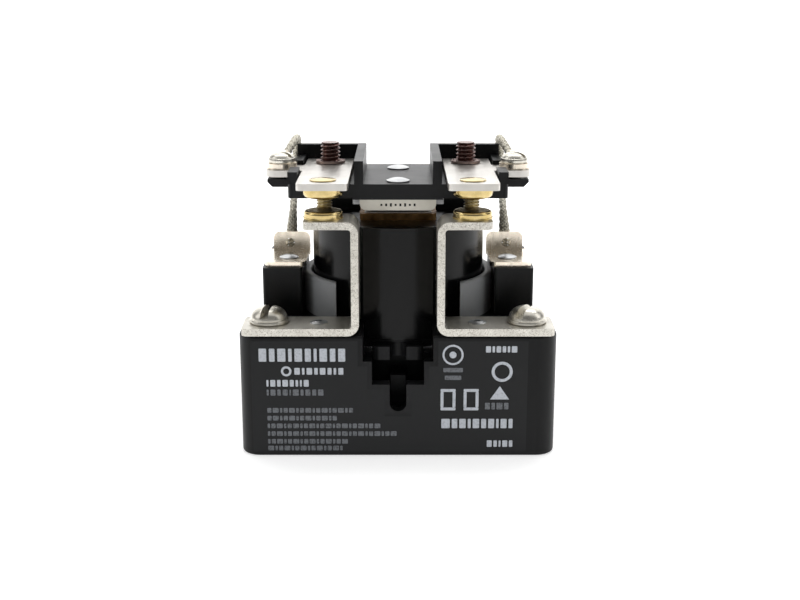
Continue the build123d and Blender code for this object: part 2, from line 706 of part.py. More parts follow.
def carrier_walls():
    """The right-hand channel walls, fulcrum ridge and shelf of the carrier."""
    rib_levels = (CARRIER_TOP, RIBS_TOP)
    side_levels = (CARRIER_TOP, SIDE_TOP)
    side_span = (SIDE_INNER, CARRIER_HALF)
    walls = block((RIB_INNER, RIB_OUTER), (CARRIER_FRONT, CARRIER_BACK), rib_levels)
    walls += block((RIB_INNER, CARRIER_HALF), (CARRIER_BACK - REAR_WALL, CARRIER_BACK), rib_levels)
    walls += block(side_span, (CARRIER_FRONT, SIDE_GAP_FRONT), side_levels)
    walls += block(side_span, (SIDE_GAP_BACK, CARRIER_BACK), side_levels)
    ridge_levels = (CARRIER_TOP, ARM_BOTTOM)
    walls += block((RIB_OUTER, SIDE_INNER), (FULCRUM_FRONT, FULCRUM_BACK), ridge_levels)
    return walls + carrier_lug()


def carrier_holes():
    """The right-hand holes for the stud, the stop screw and the ear screw."""
    span = (CARRIER_BOTTOM - BEYOND, CARRIER_TOP + BEYOND)
    holes = disc(POST_X, POST_Y, span, POST_RADIUS)
    holes += disc(STOP_X, STOP_Y, span, STOP_RADIUS)
    return holes + disc(EAR_SCREW_X, EAR_SCREW_Y, span, EAR_SCREW_HOLE)


def contact_carrier():
    """The insulating moulding that the armature lifts, with a channel for each arm."""
    x_span = (-CARRIER_HALF, CARRIER_HALF)
    y_span = (CARRIER_FRONT, CARRIER_BACK)
    plate = block(x_span, y_span, (CARRIER_BOTTOM, CARRIER_TOP))
    plate = fillet(plate.edges().filter_by(Axis.Z), CARRIER_CORNER)
    seat = block((-SEAT_HALF, SEAT_HALF), y_span, (SEAT_BOTTOM, CARRIER_TOP))
    body = plate + (seat - below_plate_top())
    body += with_mirror(carrier_walls())
    return body - with_mirror(carrier_holes())


def carrier_rivet(y):
    """One domed steel rivet that holds carrier and armature together."""
    tail = HINGE_Z + sin(radians(OPEN_ANGLE)) * (HINGE_Y - y)
    shank = disc(0, y, (tail, CARRIER_TOP), CARRIER_RIVET_SHANK)
    return shank + domed_head(0, y, CARRIER_TOP, CARRIER_RIVET_HEAD)


def arm_post():
    """The threaded stud that guides one arm."""
    stud = disc(POST_X, POST_Y, (CARRIER_BOTTOM, POST_TOP), POST_RADIUS)
    return chamfer(stud.edges().group_by(Axis.Z)[-1], POST_POINT)


def arm_post_ring():
    """The thin ring on the stud that keeps the arm from lifting off."""
    low, high = POST_RING
    span = (ARM_TOP + low, ARM_TOP + high)
    return disc(POST_X, POST_Y, span, POST_RING_RADIUS) - disc(POST_X, POST_Y, span, POST_RADIUS)


def stop_screw():
    """The set screw under one arm that holds it level while the contacts are open."""
    screw = disc(STOP_X, STOP_Y, (STOP_BOTTOM, ARM_BOTTOM), STOP_RADIUS)
    return chamfer(screw.edges().group_by(Axis.Z)[0], STOP_POINT)


# --- Contact arms -----------------------------------------------------------------------

def contact_arm():
    """One flat contact arm with its side ear."""
    span = (ARM_BOTTOM, ARM_TOP)
    through = (ARM_BOTTOM - BEYOND, ARM_TOP + BEYOND)
    x_span = (CONTACT_X - ARM_HALF, CONTACT_X + ARM_HALF)
    bar = block(x_span, (ARM_FRONT, ARM_BACK), span)
    bar = fillet(near_edges(bar, Axis.Z, [(x, ARM_FRONT, None) for x in x_span]), ARM_CORNER)
    ear = block((CONTACT_X, EAR_REACH), (EAR_FRONT, EAR_BACK), span)
    ear_corners = [(EAR_REACH, y, None) for y in (EAR_FRONT, EAR_BACK)]
    ear = fillet(near_edges(ear, Axis.Z, ear_corners), EAR_CORNER)
    arm = bar + ear
    arm -= disc(CONTACT_X, CONTACT_Y, through, CONTACT_SHANK)
    arm -= disc(POST_X, POST_Y, through, POST_RADIUS + POST_PLAY)
    return arm - disc(EAR_SCREW_X, EAR_SCREW_Y, through, EAR_SCREW_SHANK)


def moving_contact():
    """The gold-faced contact riveted through the arm."""
    button = disc(CONTACT_X, CONTACT_Y, (MOVING_BOTTOM, ARM_BOTTOM), CONTACT_RADIUS)
    button = fillet(button.edges().group_by(Axis.Z)[0], MOVING_ROUND)
    button += disc(CONTACT_X, CONTACT_Y, (ARM_BOTTOM - LOOSE, ARM_TOP), CONTACT_SHANK)
    return button + domed_head(CONTACT_X, CONTACT_Y, ARM_TOP, MOVING_HEAD)


def pigtail_lug():
    """The ring terminal on the ear, with the barrel that grips the braid."""
    span = (ARM_TOP, ARM_TOP + LUG_SKIN)
    neck_span = (EAR_SCREW_X - LUG_NECK, EAR_SCREW_X + LUG_NECK)
    barrel_front = BARREL_MIDDLE - BARREL_LENGTH / 2
    barrel_back = BARREL_MIDDLE + BARREL_LENGTH / 2
    bore_span = (barrel_front - BEYOND, barrel_back + BEYOND)
    lug = disc(EAR_SCREW_X, EAR_SCREW_Y, span, LUG_RADIUS)
    lug += block(neck_span, (EAR_SCREW_Y, EAR_BACK), span)
    lug += deep_bar(EAR_SCREW_X, (barrel_front, barrel_back), BRAID_START, BARREL_RADIUS)
    lug -= deep_bar(EAR_SCREW_X, bore_span, BRAID_START, BARREL_BORE)
    screw_span = (ARM_TOP - BEYOND, ARM_TOP + LUG_SKIN + BEYOND)
    return lug - disc(EAR_SCREW_X, EAR_SCREW_Y, screw_span, EAR_SCREW_SHANK)


def slotted_head(x, y, seat, sizes, slot):
    """A domed head with a straight driving slot. The slot is a half width and a floor."""
    radius, brim, rise = sizes
    slot_half, slot_floor = slot
    levels = (seat + slot_floor, seat + brim + rise + BEYOND)
    cutter = block((x - slot_half, x + slot_half), (y - radius - BEYOND, y + radius + BEYOND), levels)
    return domed_head(x, y, seat, sizes) - cutter


def ear_screw():
    """The pan-head screw that clamps the lug to the ear."""
    seat = ARM_TOP + LUG_SKIN
    head = slotted_head(EAR_SCREW_X, EAR_SCREW_Y, seat, EAR_SCREW_HEAD, EAR_SCREW_SLOT)
    span = (EAR_SCREW_BOTTOM, seat + LOOSE)
    return head + disc(EAR_SCREW_X, EAR_SCREW_Y, span, EAR_SCREW_SHANK)


# --- Fixed terminals --------------------------------------------------------------------

def contact_bracket():
    """The Z-bent strap from the screw terminal up to the fixed contact."""
    foot = BASE_HEIGHT
    foot_span = (foot - BEYOND, foot + STRAP + BEYOND)
    top_span = (STRAP_TOP - STRAP - BEYOND, STRAP_TOP + BEYOND)
    outline = [
        (STRAP_OUTER, foot),
        (STRAP_INNER, foot),
        (STRAP_INNER, STRAP_TOP),
        (STRAP_REACH, STRAP_TOP),
        (STRAP_REACH, STRAP_TOP - STRAP),
        (STRAP_INNER + STRAP, STRAP_TOP - STRAP),
        (STRAP_INNER + STRAP, foot + STRAP),
        (STRAP_OUTER, foot + STRAP),
    ]
    face = Plane.XZ * make_face(Polyline(*outline, close=True))
    strap = Pos(0, -HALF_DEPTH, 0) * extrude(face, amount=-STRAP_DEPTH)
    outside = [(STRAP_INNER, None, level) for level in (foot, STRAP_TOP)]
    inside = [(STRAP_INNER + STRAP, None, level) for level in (foot + STRAP, STRAP_TOP - STRAP)]
    strap = fillet(near_edges(strap, Axis.Y, outside), STRAP_OUTSIDE_BEND)
    strap = fillet(near_edges(strap, Axis.Y, inside), STRAP_INSIDE_BEND)
    ends = [(x, y, None) for x in (STRAP_OUTER, STRAP_REACH) for y in (0, STRAP_DEPTH)]
    strap = fillet(near_edges(strap, Axis.Z, ends), STRAP_CORNER)
    strap -= disc(SCREW_X, SCREW_Y, foot_span, SCREW_SHANK + LOOSE)
    strap -= disc(FOOT_RIVET_X, FOOT_RIVET_Y, foot_span, SMALL_RIVET_SHANK)
    return strap - disc(CONTACT_X, CONTACT_Y, top_span, CONTACT_SHANK)


def fixed_contact():
    """The gold-faced contact riveted to the strap."""
    peen_radius, peen_skin = CONTACT_PEEN
    underside = STRAP_TOP - STRAP
    brim_span = (STRAP_TOP, STRAP_TOP + FIXED_BRIM)
    button = disc(CONTACT_X, CONTACT_Y, (STRAP_TOP, FIXED_TOP), CONTACT_RADIUS - FIXED_STEP)
    button = fillet(button.edges().group_by(Axis.Z)[-1], FIXED_ROUND)
    button += disc(CONTACT_X, CONTACT_Y, brim_span, CONTACT_RADIUS)
    button += disc(CONTACT_X, CONTACT_Y, (underside, STRAP_TOP + LOOSE), CONTACT_SHANK)
    return button + disc(CONTACT_X, CONTACT_Y, (underside - peen_skin, underside), peen_radius)


def terminal_screw():
    """The slotted binding-head screw of one front terminal."""
    seat = BASE_HEIGHT + STRAP
    sizes = (SCREW_HEAD, SCREW_BRIM, SCREW_RISE)
    head = slotted_head(SCREW_X, SCREW_Y, seat, sizes, (SCREW_SLOT_HALF, SCREW_SLOT_FLOOR))
    shank = disc(SCREW_X, SCREW_Y, (seat - SCREW_LENGTH, seat + LOOSE), SCREW_SHANK)
    return head + chamfer(shank.edges().group_by(Axis.Z)[0], SCREW_POINT)


def foot_rivet():
    """The hollow rivet that holds the strap's foot to the base."""
    seat = BASE_HEIGHT + STRAP
    shank_span = (BASE_HEIGHT - SMALL_RIVET_LENGTH, seat)
    bore_span = (seat - FOOT_RIVET_BORE_DEPTH, seat + BEYOND)
    rivet = disc(FOOT_RIVET_X, FOOT_RIVET_Y, shank_span, SMALL_RIVET_SHANK)
    rivet += domed_head(FOOT_RIVET_X, FOOT_RIVET_Y, seat, FOOT_RIVET_HEAD)
    return rivet - disc(FOOT_RIVET_X, FOOT_RIVET_Y, bore_span, FOOT_RIVET_BORE)


def rear_terminal():
    """The L-bent rear terminal: a foot on the block and an upright tab with a hole."""
    back = TAB_Y + TAB_SKIN
    foot_levels = (BLOCK_TOP, BLOCK_TOP + TAB_SKIN)
    foot = block((TAB_FOOT_INNER, TAB_FOOT_OUTER), (TAB_FOOT_FRONT, back), foot_levels)
    foot_corners = [(x, TAB_FOOT_FRONT, None) for x in (TAB_FOOT_INNER, TAB_FOOT_OUTER)]
    foot = fillet(near_edges(foot, Axis.Z, foot_corners), TAB_FOOT_CORNER)
    tab_span = (TAB_CENTRE - TAB_HALF, TAB_CENTRE + TAB_HALF)
    tab = block(tab_span, (TAB_Y, back), (BLOCK_TOP, TAB_TOP))
    tab = fillet(near_edges(tab, Axis.Y, [(x, None, TAB_TOP) for x in tab_span]), TAB_CORNER)
    hole_x, hole_z = TAB_HOLE
    tab -= deep_bar(hole_x, (TAB_Y - BEYOND, back + BEYOND), hole_z, TAB_HOLE_RADIUS)
    rivet_span = (BLOCK_TOP - BEYOND, BLOCK_TOP + TAB_SKIN + BEYOND)
    return foot + tab - disc(TAB_CENTRE, TAB_RIVET_Y, rivet_span, SMALL_RIVET_SHANK)


def rear_rivet():
    """The rivet that holds the rear terminal's foot."""
    seat = BLOCK_TOP + TAB_SKIN
    shank = disc(TAB_CENTRE, TAB_RIVET_Y, (BLOCK_TOP - SMALL_RIVET_LENGTH, seat), SMALL_RIVET_SHANK)
    return shank + domed_head(TAB_CENTRE, TAB_RIVET_Y, seat, TAB_RIVET_HEAD)


def pigtail():
    """The braided jumper from the lug on the ear down to the rear terminal's tab."""
    radii = []
    for before, corner, after in zip(BRAID_ROUTE, BRAID_ROUTE[1:], BRAID_ROUTE[2:]):
        arriving = Vector(*corner) - Vector(*before)
        leaving = Vector(*after) - Vector(*corner)
        turn = radians(arriving.get_angle(leaving))
        shorter = min(arriving.length, leaving.length)
        bend = BRAID_EASE * shorter / tan(turn / 2)
        radii.append(min(bend, BRAID_LARGEST_BEND))
    return tube_along(BRAID_ROUTE, radii, BRAID_RADIUS)


def main():
    """Write every node."""
    os.makedirs("parts", exist_ok=True)
    single = {
        "base": base,
        "locating_key": locating_key,
        "heelpiece": heelpiece,
        "core": core,
        "core_screw": core_screw,
        "shading_ring": shading_ring,
        "coil_bobbin": coil_bobbin,
        "coil_winding": coil_winding,
        "coil_wrap": coil_wrap,
        "hinge_bracket": hinge_bracket,
        "hinge_bracket_rivets": bracket_rivets,
        "hinge_pin": hinge_pin,
        "backstop": backstop,
        "return_spring": return_spring,
    }
    for name, make in single.items():
        save(name, make())
    rivets = [carrier_rivet(y) for y in CARRIER_RIVETS]
    plate = armature_plate()
    carrier = contact_carrier()
    for rivet in rivets:
        plate -= rivet
        carrier -= rivet
    save("armature_plate", plate)
    save("contact_carrier", carrier)
    save("carrier_rivets", together(rivets))
    paired = {
        "coil_cuff": coil_cuff,
        "contact_arm": contact_arm,
        "moving_contact": moving_contact,
        "pigtail_lug": pigtail_lug,
        "ear_screw": ear_screw,
        "arm_post": arm_post,
        "arm_post_ring": arm_post_ring,
        "arm_stop_screw": stop_screw,
        "contact_bracket": contact_bracket,
        "fixed_contact": fixed_contact,
        "terminal_screw": terminal_screw,
        "bracket_foot_rivet": foot_rivet,
        "rear_terminal": rear_terminal,
        "rear_terminal_rivet": rear_rivet,
        "pigtail": pigtail,
        "coil_terminal": coil_terminal,
        "coil_lead": coil_lead,
    }
    for name, make in paired.items():
        piece = make()
        for side, sign in BOTH_SIDES.items():
            save(f"{name}_{side}", on_side(piece, sign))


main()
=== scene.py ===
import json
import math

import bmesh
import bpy
from mathutils import Matrix, Vector


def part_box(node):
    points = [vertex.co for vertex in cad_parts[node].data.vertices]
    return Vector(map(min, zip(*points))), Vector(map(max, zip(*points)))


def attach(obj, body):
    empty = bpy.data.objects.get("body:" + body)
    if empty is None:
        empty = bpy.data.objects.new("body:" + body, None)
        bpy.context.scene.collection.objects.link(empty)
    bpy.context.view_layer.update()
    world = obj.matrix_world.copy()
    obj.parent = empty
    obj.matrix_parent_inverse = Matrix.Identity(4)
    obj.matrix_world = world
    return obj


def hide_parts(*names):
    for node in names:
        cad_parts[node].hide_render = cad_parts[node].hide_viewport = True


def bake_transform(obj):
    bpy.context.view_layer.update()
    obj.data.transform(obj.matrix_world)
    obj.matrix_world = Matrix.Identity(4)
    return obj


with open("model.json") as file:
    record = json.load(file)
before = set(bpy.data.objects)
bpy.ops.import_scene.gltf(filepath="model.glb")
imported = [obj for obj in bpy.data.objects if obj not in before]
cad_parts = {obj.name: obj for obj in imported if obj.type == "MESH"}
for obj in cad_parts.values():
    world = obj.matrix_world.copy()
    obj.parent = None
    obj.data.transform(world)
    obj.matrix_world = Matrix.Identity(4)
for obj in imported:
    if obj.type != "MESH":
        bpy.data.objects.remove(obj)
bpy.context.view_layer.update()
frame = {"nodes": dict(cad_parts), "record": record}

MM = 0.001
TURN = 2 * math.pi
SIDES = {"left": -1, "right": 1}

# Camera, at the photograph's viewing angle: lens and sensor in millimetres, pitch in degrees
CAMERA_LENS = 55.8
CAMERA_SENSOR = 36.0
CAMERA_PITCH = 14.6
CAMERA_PLACE = (0.0004, -0.2653, 0.0937)

# Edges turned further than this, in degrees, are drawn sharp
TURNED_SHARP = 35
FLAT_SHARP = 30
THREAD_SHARP = 25

# Screws, and how far each slot is turned from straight ahead, in degrees
COARSE_PITCH = 0.794 * MM
STRAP_THICKNESS = 1.5 * MM
LUG_THICKNESS = 1.1 * MM
TERMINAL_TURNS = {"left": -12, "right": -33}
TERMINAL_SCREW = {
    "head_radius": 3.95 * MM,
    "brim": 0.8 * MM,
    "slot_width": 1.6 * MM,
    "slot_depth": 1.9 * MM,
    "shank_radius": 2.07 * MM,
    "pitch": COARSE_PITCH,
}
EAR_TURN = 50
EAR_SCREW = {
    "head_radius": 2.8 * MM,
    "brim": 1.0 * MM,
    "slot_width": 0.8 * MM,
    "slot_depth": 0.9 * MM,
    "shank_radius": 1.7 * MM,
    "pitch": 0.7 * MM,
}
SCREW_THREAD_DEPTH = 0.3 * MM
SHANK_LAP = 0.05 * MM  # how far the thread runs up into the head
SLOT_EDGE = 0.07 * MM

# Studs over the arms and stop screws under them: pitch, thread depth and material
STUDS = {
    "arm_post": (COARSE_PITCH, 0.42 * MM, "dark_screw"),
    "arm_stop_screw": (0.62 * MM, 0.3 * MM, "brass"),
}


# --- Shader helpers ---------------------------------------------------------------------

class Shader:
    """A small wrapper that adds nodes to one material and links them."""

    def __init__(self, name, slot):
        self.material = bpy.data.materials.new(name)
        self.material.use_nodes = True
        self.slot = slot
        self.nodes = self.material.node_tree.nodes
        self.links = self.material.node_tree.links
        self.surface = self.nodes["Principled BSDF"]
        self.place = self.nodes.new("ShaderNodeTexCoord").outputs["Object"]

    def set(self, **values):
        """Fixed values on the shader's own sockets."""
        for key, value in values.items():
            self.surface.inputs[key.replace("_", " ")].default_value = value
        return self

    def facing_front(self):
        """One on faces that look towards -Y, nought on the rest."""
        split = self.nodes.new("ShaderNodeSeparateXYZ")
        geometry = self.nodes.new("ShaderNodeNewGeometry")
        self.links.new(geometry.outputs["True Normal"], split.inputs["Vector"])
        return self.maths("LESS_THAN", split.outputs["Y"], -0.7)

    def stretched(self, scale):
        """The object coordinates, stretched along the axes."""
        mapping = self.nodes.new("ShaderNodeMapping")
        mapping.inputs["Scale"].default_value = scale
        self.links.new(self.place, mapping.inputs["Vector"])
        return mapping.outputs["Vector"]

    def noise(self, scale, detail=3.0, rough=0.5, stretch=None):
        """A noise field with about `scale` features to the metre."""
        noise = self.nodes.new("ShaderNodeTexNoise")
        noise.inputs["Scale"].default_value = scale
        noise.inputs["Detail"].default_value = detail
        noise.inputs["Roughness"].default_value = rough
        source = self.stretched(stretch) if stretch else self.place
        self.links.new(source, noise.inputs["Vector"])
        return noise.outputs["Fac"]

    def wave(self, scale, distortion, detail):
        """Level bands, one above the other."""
        wave = self.nodes.new("ShaderNodeTexWave")
        wave.bands_direction = "Z"
        wave.inputs["Scale"].default_value = scale
        wave.inputs["Distortion"].default_value = distortion
        wave.inputs["Detail"].default_value = detail
        self.links.new(self.place, wave.inputs["Vector"])
        return wave.outputs["Fac"]

    def spots(self, scale):
        """Distance to scattered points, for specks and pits."""
        cells = self.nodes.new("ShaderNodeTexVoronoi")
        cells.inputs["Scale"].default_value = scale
        self.links.new(self.place, cells.inputs["Vector"])
        return cells.outputs["Distance"]

    def ramp(self, factor, stops):
        """A colour or value ramp."""
        ramp = self.nodes.new("ShaderNodeValToRGB")
        elements = ramp.color_ramp.elements
        while len(elements) < len(stops):
            elements.new(0.5)
        for element, (position, colour) in zip(elements, stops):
            element.position = position
            element.color = (*colour, 1)
        self.links.new(factor, ramp.inputs["Fac"])
        return ramp.outputs["Color"]

    def grey_ramp(self, factor, low, high):
        """A ramp between two grey values over the middle of the factor's range."""
        return self.ramp(factor, [(0.3, (low,) * 3), (0.7, (high,) * 3)])

    def mix(self, factor, first, second):
        """Blend of two colours, either sockets or values."""
        mix = self.nodes.new("ShaderNodeMix")
        mix.data_type = "RGBA"
        for socket, value in (("Factor", factor), ("A", first), ("B", second)):
            target = [s for s in mix.inputs if s.name == socket and s.enabled][0]
            if hasattr(value, "is_output"):
                self.links.new(value, target)
            else:
                target.default_value = value
        return [s for s in mix.outputs if s.enabled][0]

    def maths(self, operation, first, second):
        """One maths node."""
        node = self.nodes.new("ShaderNodeMath")
        node.operation = operation
        for socket, value in zip(node.inputs, (first, second)):
            if hasattr(value, "is_output"):
                self.links.new(value, socket)
            else:
                socket.default_value = value
        return node.outputs[0]

    def edges(self, low, high):
        """White on sharp outer edges, black elsewhere."""
        geometry = self.nodes.new("ShaderNodeNewGeometry")
        return self.ramp(geometry.outputs["Pointiness"], [(low, (0, 0, 0)), (high, (1, 1, 1))])

    def bump(self, height, strength, distance, under=None):
        """Adds a bump, on top of an earlier one if given."""
        bump = self.nodes.new("ShaderNodeBump")
        bump.inputs["Strength"].default_value = strength
        bump.inputs["Distance"].default_value = distance
        self.links.new(height, bump.inputs["Height"])
        if under:
            self.links.new(under, bump.inputs["Normal"])
        return bump.outputs["Normal"]

    def link(self, **sockets):
        """Sockets into the shader's inputs."""
        for key, socket in sockets.items():
            self.links.new(socket, self.surface.inputs[key.replace("_", " ")])
        return self


# --- Materials --------------------------------------------------------------------------
# Colours are linear, texture scales are in features to the metre, and bump heights in metres.

def moulded_black():
    """Satin moulding with fine grain, cloudy tone, a little dust, and edges painted lighter: a painted
    highlight along the edges, partly rubbed wear.
    """
    s = Shader("moulded_black", "moulded_black").set(IOR=1.3)
    cloud = s.noise(70, 4)
    fine = s.noise(5200, 2)
    base = s.ramp(cloud, [(0.3, (0.0018, 0.0021, 0.0024)), (0.7, (0.004, 0.0043, 0.0047))])
    dust = s.ramp(s.spots(1500), [(0.0, (1, 1, 1)), (0.05, (0, 0, 0))])
    dusty = s.mix(s.maths("MULTIPLY", dust, 0.12), base, (0.2, 0.2, 0.2, 1))
    # Edges lightened by pointiness: painted highlight on the edges, partly rubbed wear.
    edge_sheen_and_wear = s.mix(s.maths("MULTIPLY", s.edges(0.56, 0.68), 0.3), dusty, (0.06, 0.06, 0.065, 1))
    rough = s.maths("ADD", s.grey_ramp(cloud, 0.30, 0.40), s.maths("MULTIPLY", fine, 0.06))
    orange_peel = s.bump(s.noise(900, 2), 0.10, 0.0001)
    grain = s.bump(fine, 0.10, 0.00004, orange_peel)
    return s.link(Base_Color=edge_sheen_and_wear, Roughness=rough, Normal=grain)


def cuff_black_painted_light():
    """The cuffs' black moulding painted as a lighter dark grey: a lit copy of the base's black, with painted
    light for the light the cuffs catch.
    """
    s = Shader("cuff_black_painted_light", "moulded_black").set(IOR=1.5)
    cloud = s.noise(90, 4)
    # Painted light: this grey stands for the light the cuffs catch. The plastic is the base's black.
    tone = s.ramp(cloud, [(0.3, (0.20, 0.206, 0.212)), (0.7, (0.25, 0.257, 0.265))])
    fine = s.noise(5200, 2)
    rough = s.maths("ADD", s.grey_ramp(cloud, 0.42, 0.50), s.maths("MULTIPLY", fine, 0.06))
    return s.link(Base_Color=tone, Roughness=rough, Normal=s.bump(fine, 0.14, 0.00005))


def label_film():
    """Matt black film under the print, a little greyer than the moulding."""
    s = Shader("label_film", "moulded_black").set(IOR=1.36)
    cloud = s.noise(120, 3)
    tone = s.ramp(cloud, [(0.3, (0.0045, 0.005, 0.0058)), (0.7, (0.0065, 0.007, 0.008))])
    skin = s.bump(s.noise(2400, 2), 0.08, 0.00003)
    return s.link(Base_Color=tone, Roughness=s.grey_ramp(cloud, 0.40, 0.48), Normal=skin)


def tape_black():
    """Satin sleeve with lengthwise draw marks, faint turns and handling smears."""
    s = Shader("tape_black", "tape_black").set(IOR=1.3)
    smear = s.noise(160, 3, 0.5, (1, 1, 0.22))
    colour = s.ramp(smear, [(0.3, (0.0012, 0.0014, 0.0016)), (0.75, (0.003, 0.0032, 0.0035))])
    rough = s.grey_ramp(smear, 0.16, 0.26)
    turns = s.bump(s.wave(310, 0.6, 1.0), 0.04, 0.00005)
    drawn = s.bump(s.noise(260, 3, 0.6, (1, 1, 0.12)), 0.12, 0.00018, turns)
    return s.link(Base_Color=colour, Roughness=rough, Normal=drawn)


def plated(name, slot, tint, dark, rough_low, rough_high, stretch, bumpy):
    """Plated metal: cloudy tone, hairlines along the axis that `stretch` scales down, pits and dents."""
    s = Shader(name, slot).set(Metallic=1.0)
    cloud = s.noise(220, 4)
    hair = s.noise(900, 3, 0.6, stretch)
    tone = s.ramp(cloud, [(0.25, dark), (0.7, tint)])
    pits = s.ramp(s.spots(900), [(0.0, (1, 1, 1)), (0.075, (0, 0, 0))])
    pit_colour = (*(value * 0.5 for value in dark), 1)
    toned = s.mix(s.maths("MULTIPLY", pits, 0.25), tone, pit_colour)
    rough = s.maths("ADD", s.grey_ramp(hair, rough_low, rough_high), s.maths("MULTIPLY", cloud, 0.05))
    lines = s.bump(hair, bumpy, 0.00006)
    dents = s.bump(s.noise(420, 2), bumpy * 1.6, 0.00016, lines)
    return s.link(Base_Color=toned, Roughness=rough, Normal=dents)


def nickel():
    """Bright nickel plate over pressed strip."""
    tint, dark = (0.78, 0.755, 0.715), (0.64, 0.615, 0.57)
    return plated("nickel", "nickel", tint, dark, 0.26, 0.38, (1, 0.08, 1), 0.05)


def screw_nickel():
    """Worn nickel on the screw heads, warmer and duller than the straps."""
    tint, dark = (0.80, 0.77, 0.69), (0.60, 0.57, 0.50)
    return plated("screw_nickel", "nickel", tint, dark, 0.22, 0.34, (1, 1, 1), 0.06)


def armature_nickel():
    """Duller nickel on the pressed armature, with a tumbled skin."""
    tint, dark = (0.72, 0.69, 0.61), (0.56, 0.53, 0.46)
    return plated("armature_nickel", "nickel", tint, dark, 0.26, 0.40, (1, 1, 1), 0.10)


def strap_nickel():
    """Nickel on the bent straps: bright flat faces, a rough striated front edge."""
    s = Shader("strap_nickel", "nickel").set(Metallic=1.0)
    sheared = s.facing_front()
    cloud = s.noise(260, 4)
    hair = s.noise(1200, 3, 0.6, (1, 0.07, 1))
    skin = s.noise(2600, 4, 0.75, (1.0, 0.3, 1.0))
    nicks = s.ramp(s.noise(3400, 2, 0.6, (1.0, 0.12, 1.0)), [(0.36, (1, 1, 1)), (0.47, (0, 0, 0))])
    tone = s.ramp(cloud, [(0.25, (0.54, 0.52, 0.465)), (0.7, (0.68, 0.655, 0.595))])
    nick_mask = s.maths("MULTIPLY", s.maths("MULTIPLY", nicks, 0.55), sheared)
    nicked = s.mix(nick_mask, tone, (0.24, 0.215, 0.18, 1))
    flat = s.maths("SUBTRACT", 0.22, s.maths("MULTIPLY", sheared, 0.16))
    rough = s.maths("ADD", s.grey_ramp(hair, 0.14, 0.28), flat)
    lines = s.bump(hair, 0.05, 0.00006)
    peel = s.bump(s.maths("MULTIPLY", skin, sheared), 0.30, 0.00012, lines)
    return s.link(Base_Color=nicked, Roughness=rough, Normal=peel)


def tin():
    """Warm matt tin plate."""
    tint, dark = (0.95, 0.86, 0.73), (0.84, 0.76, 0.63)
    return plated("tin", "tin", tint, dark, 0.16, 0.27, (1, 1, 0.2), 0.06)


def gold():
    """Gold flash, cloudy where it is thin, with turned rings."""
    s = Shader("gold", "gold").set(Metallic=1.0)
    cloud = s.noise(380, 3)
    turned = s.noise(2600, 2, 0.5, (0.12, 0.12, 1))
    tone = s.ramp(cloud, [(0.28, (0.55, 0.41, 0.15)), (0.72, (0.74, 0.59, 0.30))])
    rough = s.grey_ramp(turned, 0.12, 0.24)
    rings = s.bump(turned, 0.07, 0.00005)
    return s.link(Base_Color=tone, Roughness=rough, Normal=rings)


def brass():
    """Dull brass screw stock, brighter on the crests of its thread."""
    s = Shader("brass", "brass").set(Metallic=1.0)
    tone = s.ramp(s.noise(700, 3), [(0.3, (0.34, 0.27, 0.13)), (0.7, (0.56, 0.47, 0.27))])
    crest = s.mix(s.edges(0.5, 0.6), tone, (0.72, 0.63, 0.42, 1))
    return s.link(Base_Color=crest, Roughness=s.grey_ramp(s.noise(1500, 2), 0.26, 0.42))


def dark_screw():
    """Reddish bronze oxide on the studs, with the thread crests painted bright: a painted highlight, partly
    rubbed wear.
    """
    s = Shader("dark_screw", "dark_screw").set(Metallic=0.85)
    tone = s.ramp(s.noise(520, 3), [(0.3, (0.065, 0.024, 0.020)), (0.7, (0.145, 0.060, 0.048))])
    # Crests lightened by pointiness: painted highlight along the thread, partly rubbed wear.
    crest = s.mix(s.edges(0.52, 0.62), tone, (0.50, 0.38, 0.35, 1))
    return s.link(Base_Color=crest, Roughness=s.grey_ramp(s.noise(1300, 2), 0.24, 0.40))


def steel():
    """Zinc-plated steel with a faint bluish cast."""
    tint, dark = (0.66, 0.67, 0.67), (0.50, 0.51, 0.52)
    return plated("steel", "steel", tint, dark, 0.24, 0.38, (0.2, 1, 1), 0.10)


def dot_shade_and_dirt():
    """Near-black for the stamped dots: painted shade of the punched recesses, with some oily dirt."""
    s = Shader("dot_shade_and_dirt", "dark_screw").set(IOR=1.4)
    cloud = s.noise(1800, 3)
    # Painted shade in the punched dots, with some dirt.
    tone = s.ramp(cloud, [(0.3, (0.006, 0.006, 0.006)), (0.7, (0.022, 0.020, 0.018))])
    skin = s.bump(cloud, 0.2, 0.00005)
    return s.link(Base_Color=tone, Roughness=s.grey_ramp(cloud, 0.6, 0.8), Normal=skin)


def copper():
    """Dull copper with brown tarnish."""
    s = Shader("copper", "copper").set(Metallic=1.0)
    tone = s.ramp(s.noise(420, 4), [(0.3, (0.20, 0.105, 0.040)), (0.72, (0.52, 0.30, 0.12))])
    lines = s.bump(s.noise(1500, 2, 0.5, (0.1, 1, 1)), 0.12, 0.00005)
    rough = s.grey_ramp(s.noise(700, 3), 0.30, 0.50)
    return s.link(Base_Color=tone, Roughness=rough, Normal=lines)


def braid():
    """Tinned copper strands."""
    tint, dark = (0.72, 0.69, 0.60), (0.48, 0.45, 0.37)
    return plated("braid", "braid", tint, dark, 0.26, 0.42, (1, 1, 1), 0.12)


def lead_sleeve():
    """Slightly glossy wire insulation."""
    s = Shader("lead_sleeve", "lead_sleeve").set(IOR=1.5)
    tone = s.ramp(s.noise(300, 3), [(0.3, (0.016, 0.016, 0.017)), (0.7, (0.035, 0.035, 0.036))])
    skin = s.bump(s.noise(1800, 2), 0.12, 0.00004)
    rough = s.grey_ramp(s.noise(200, 2), 0.36, 0.5)
    return s.link(Base_Color=tone, Roughness=rough, Normal=skin)


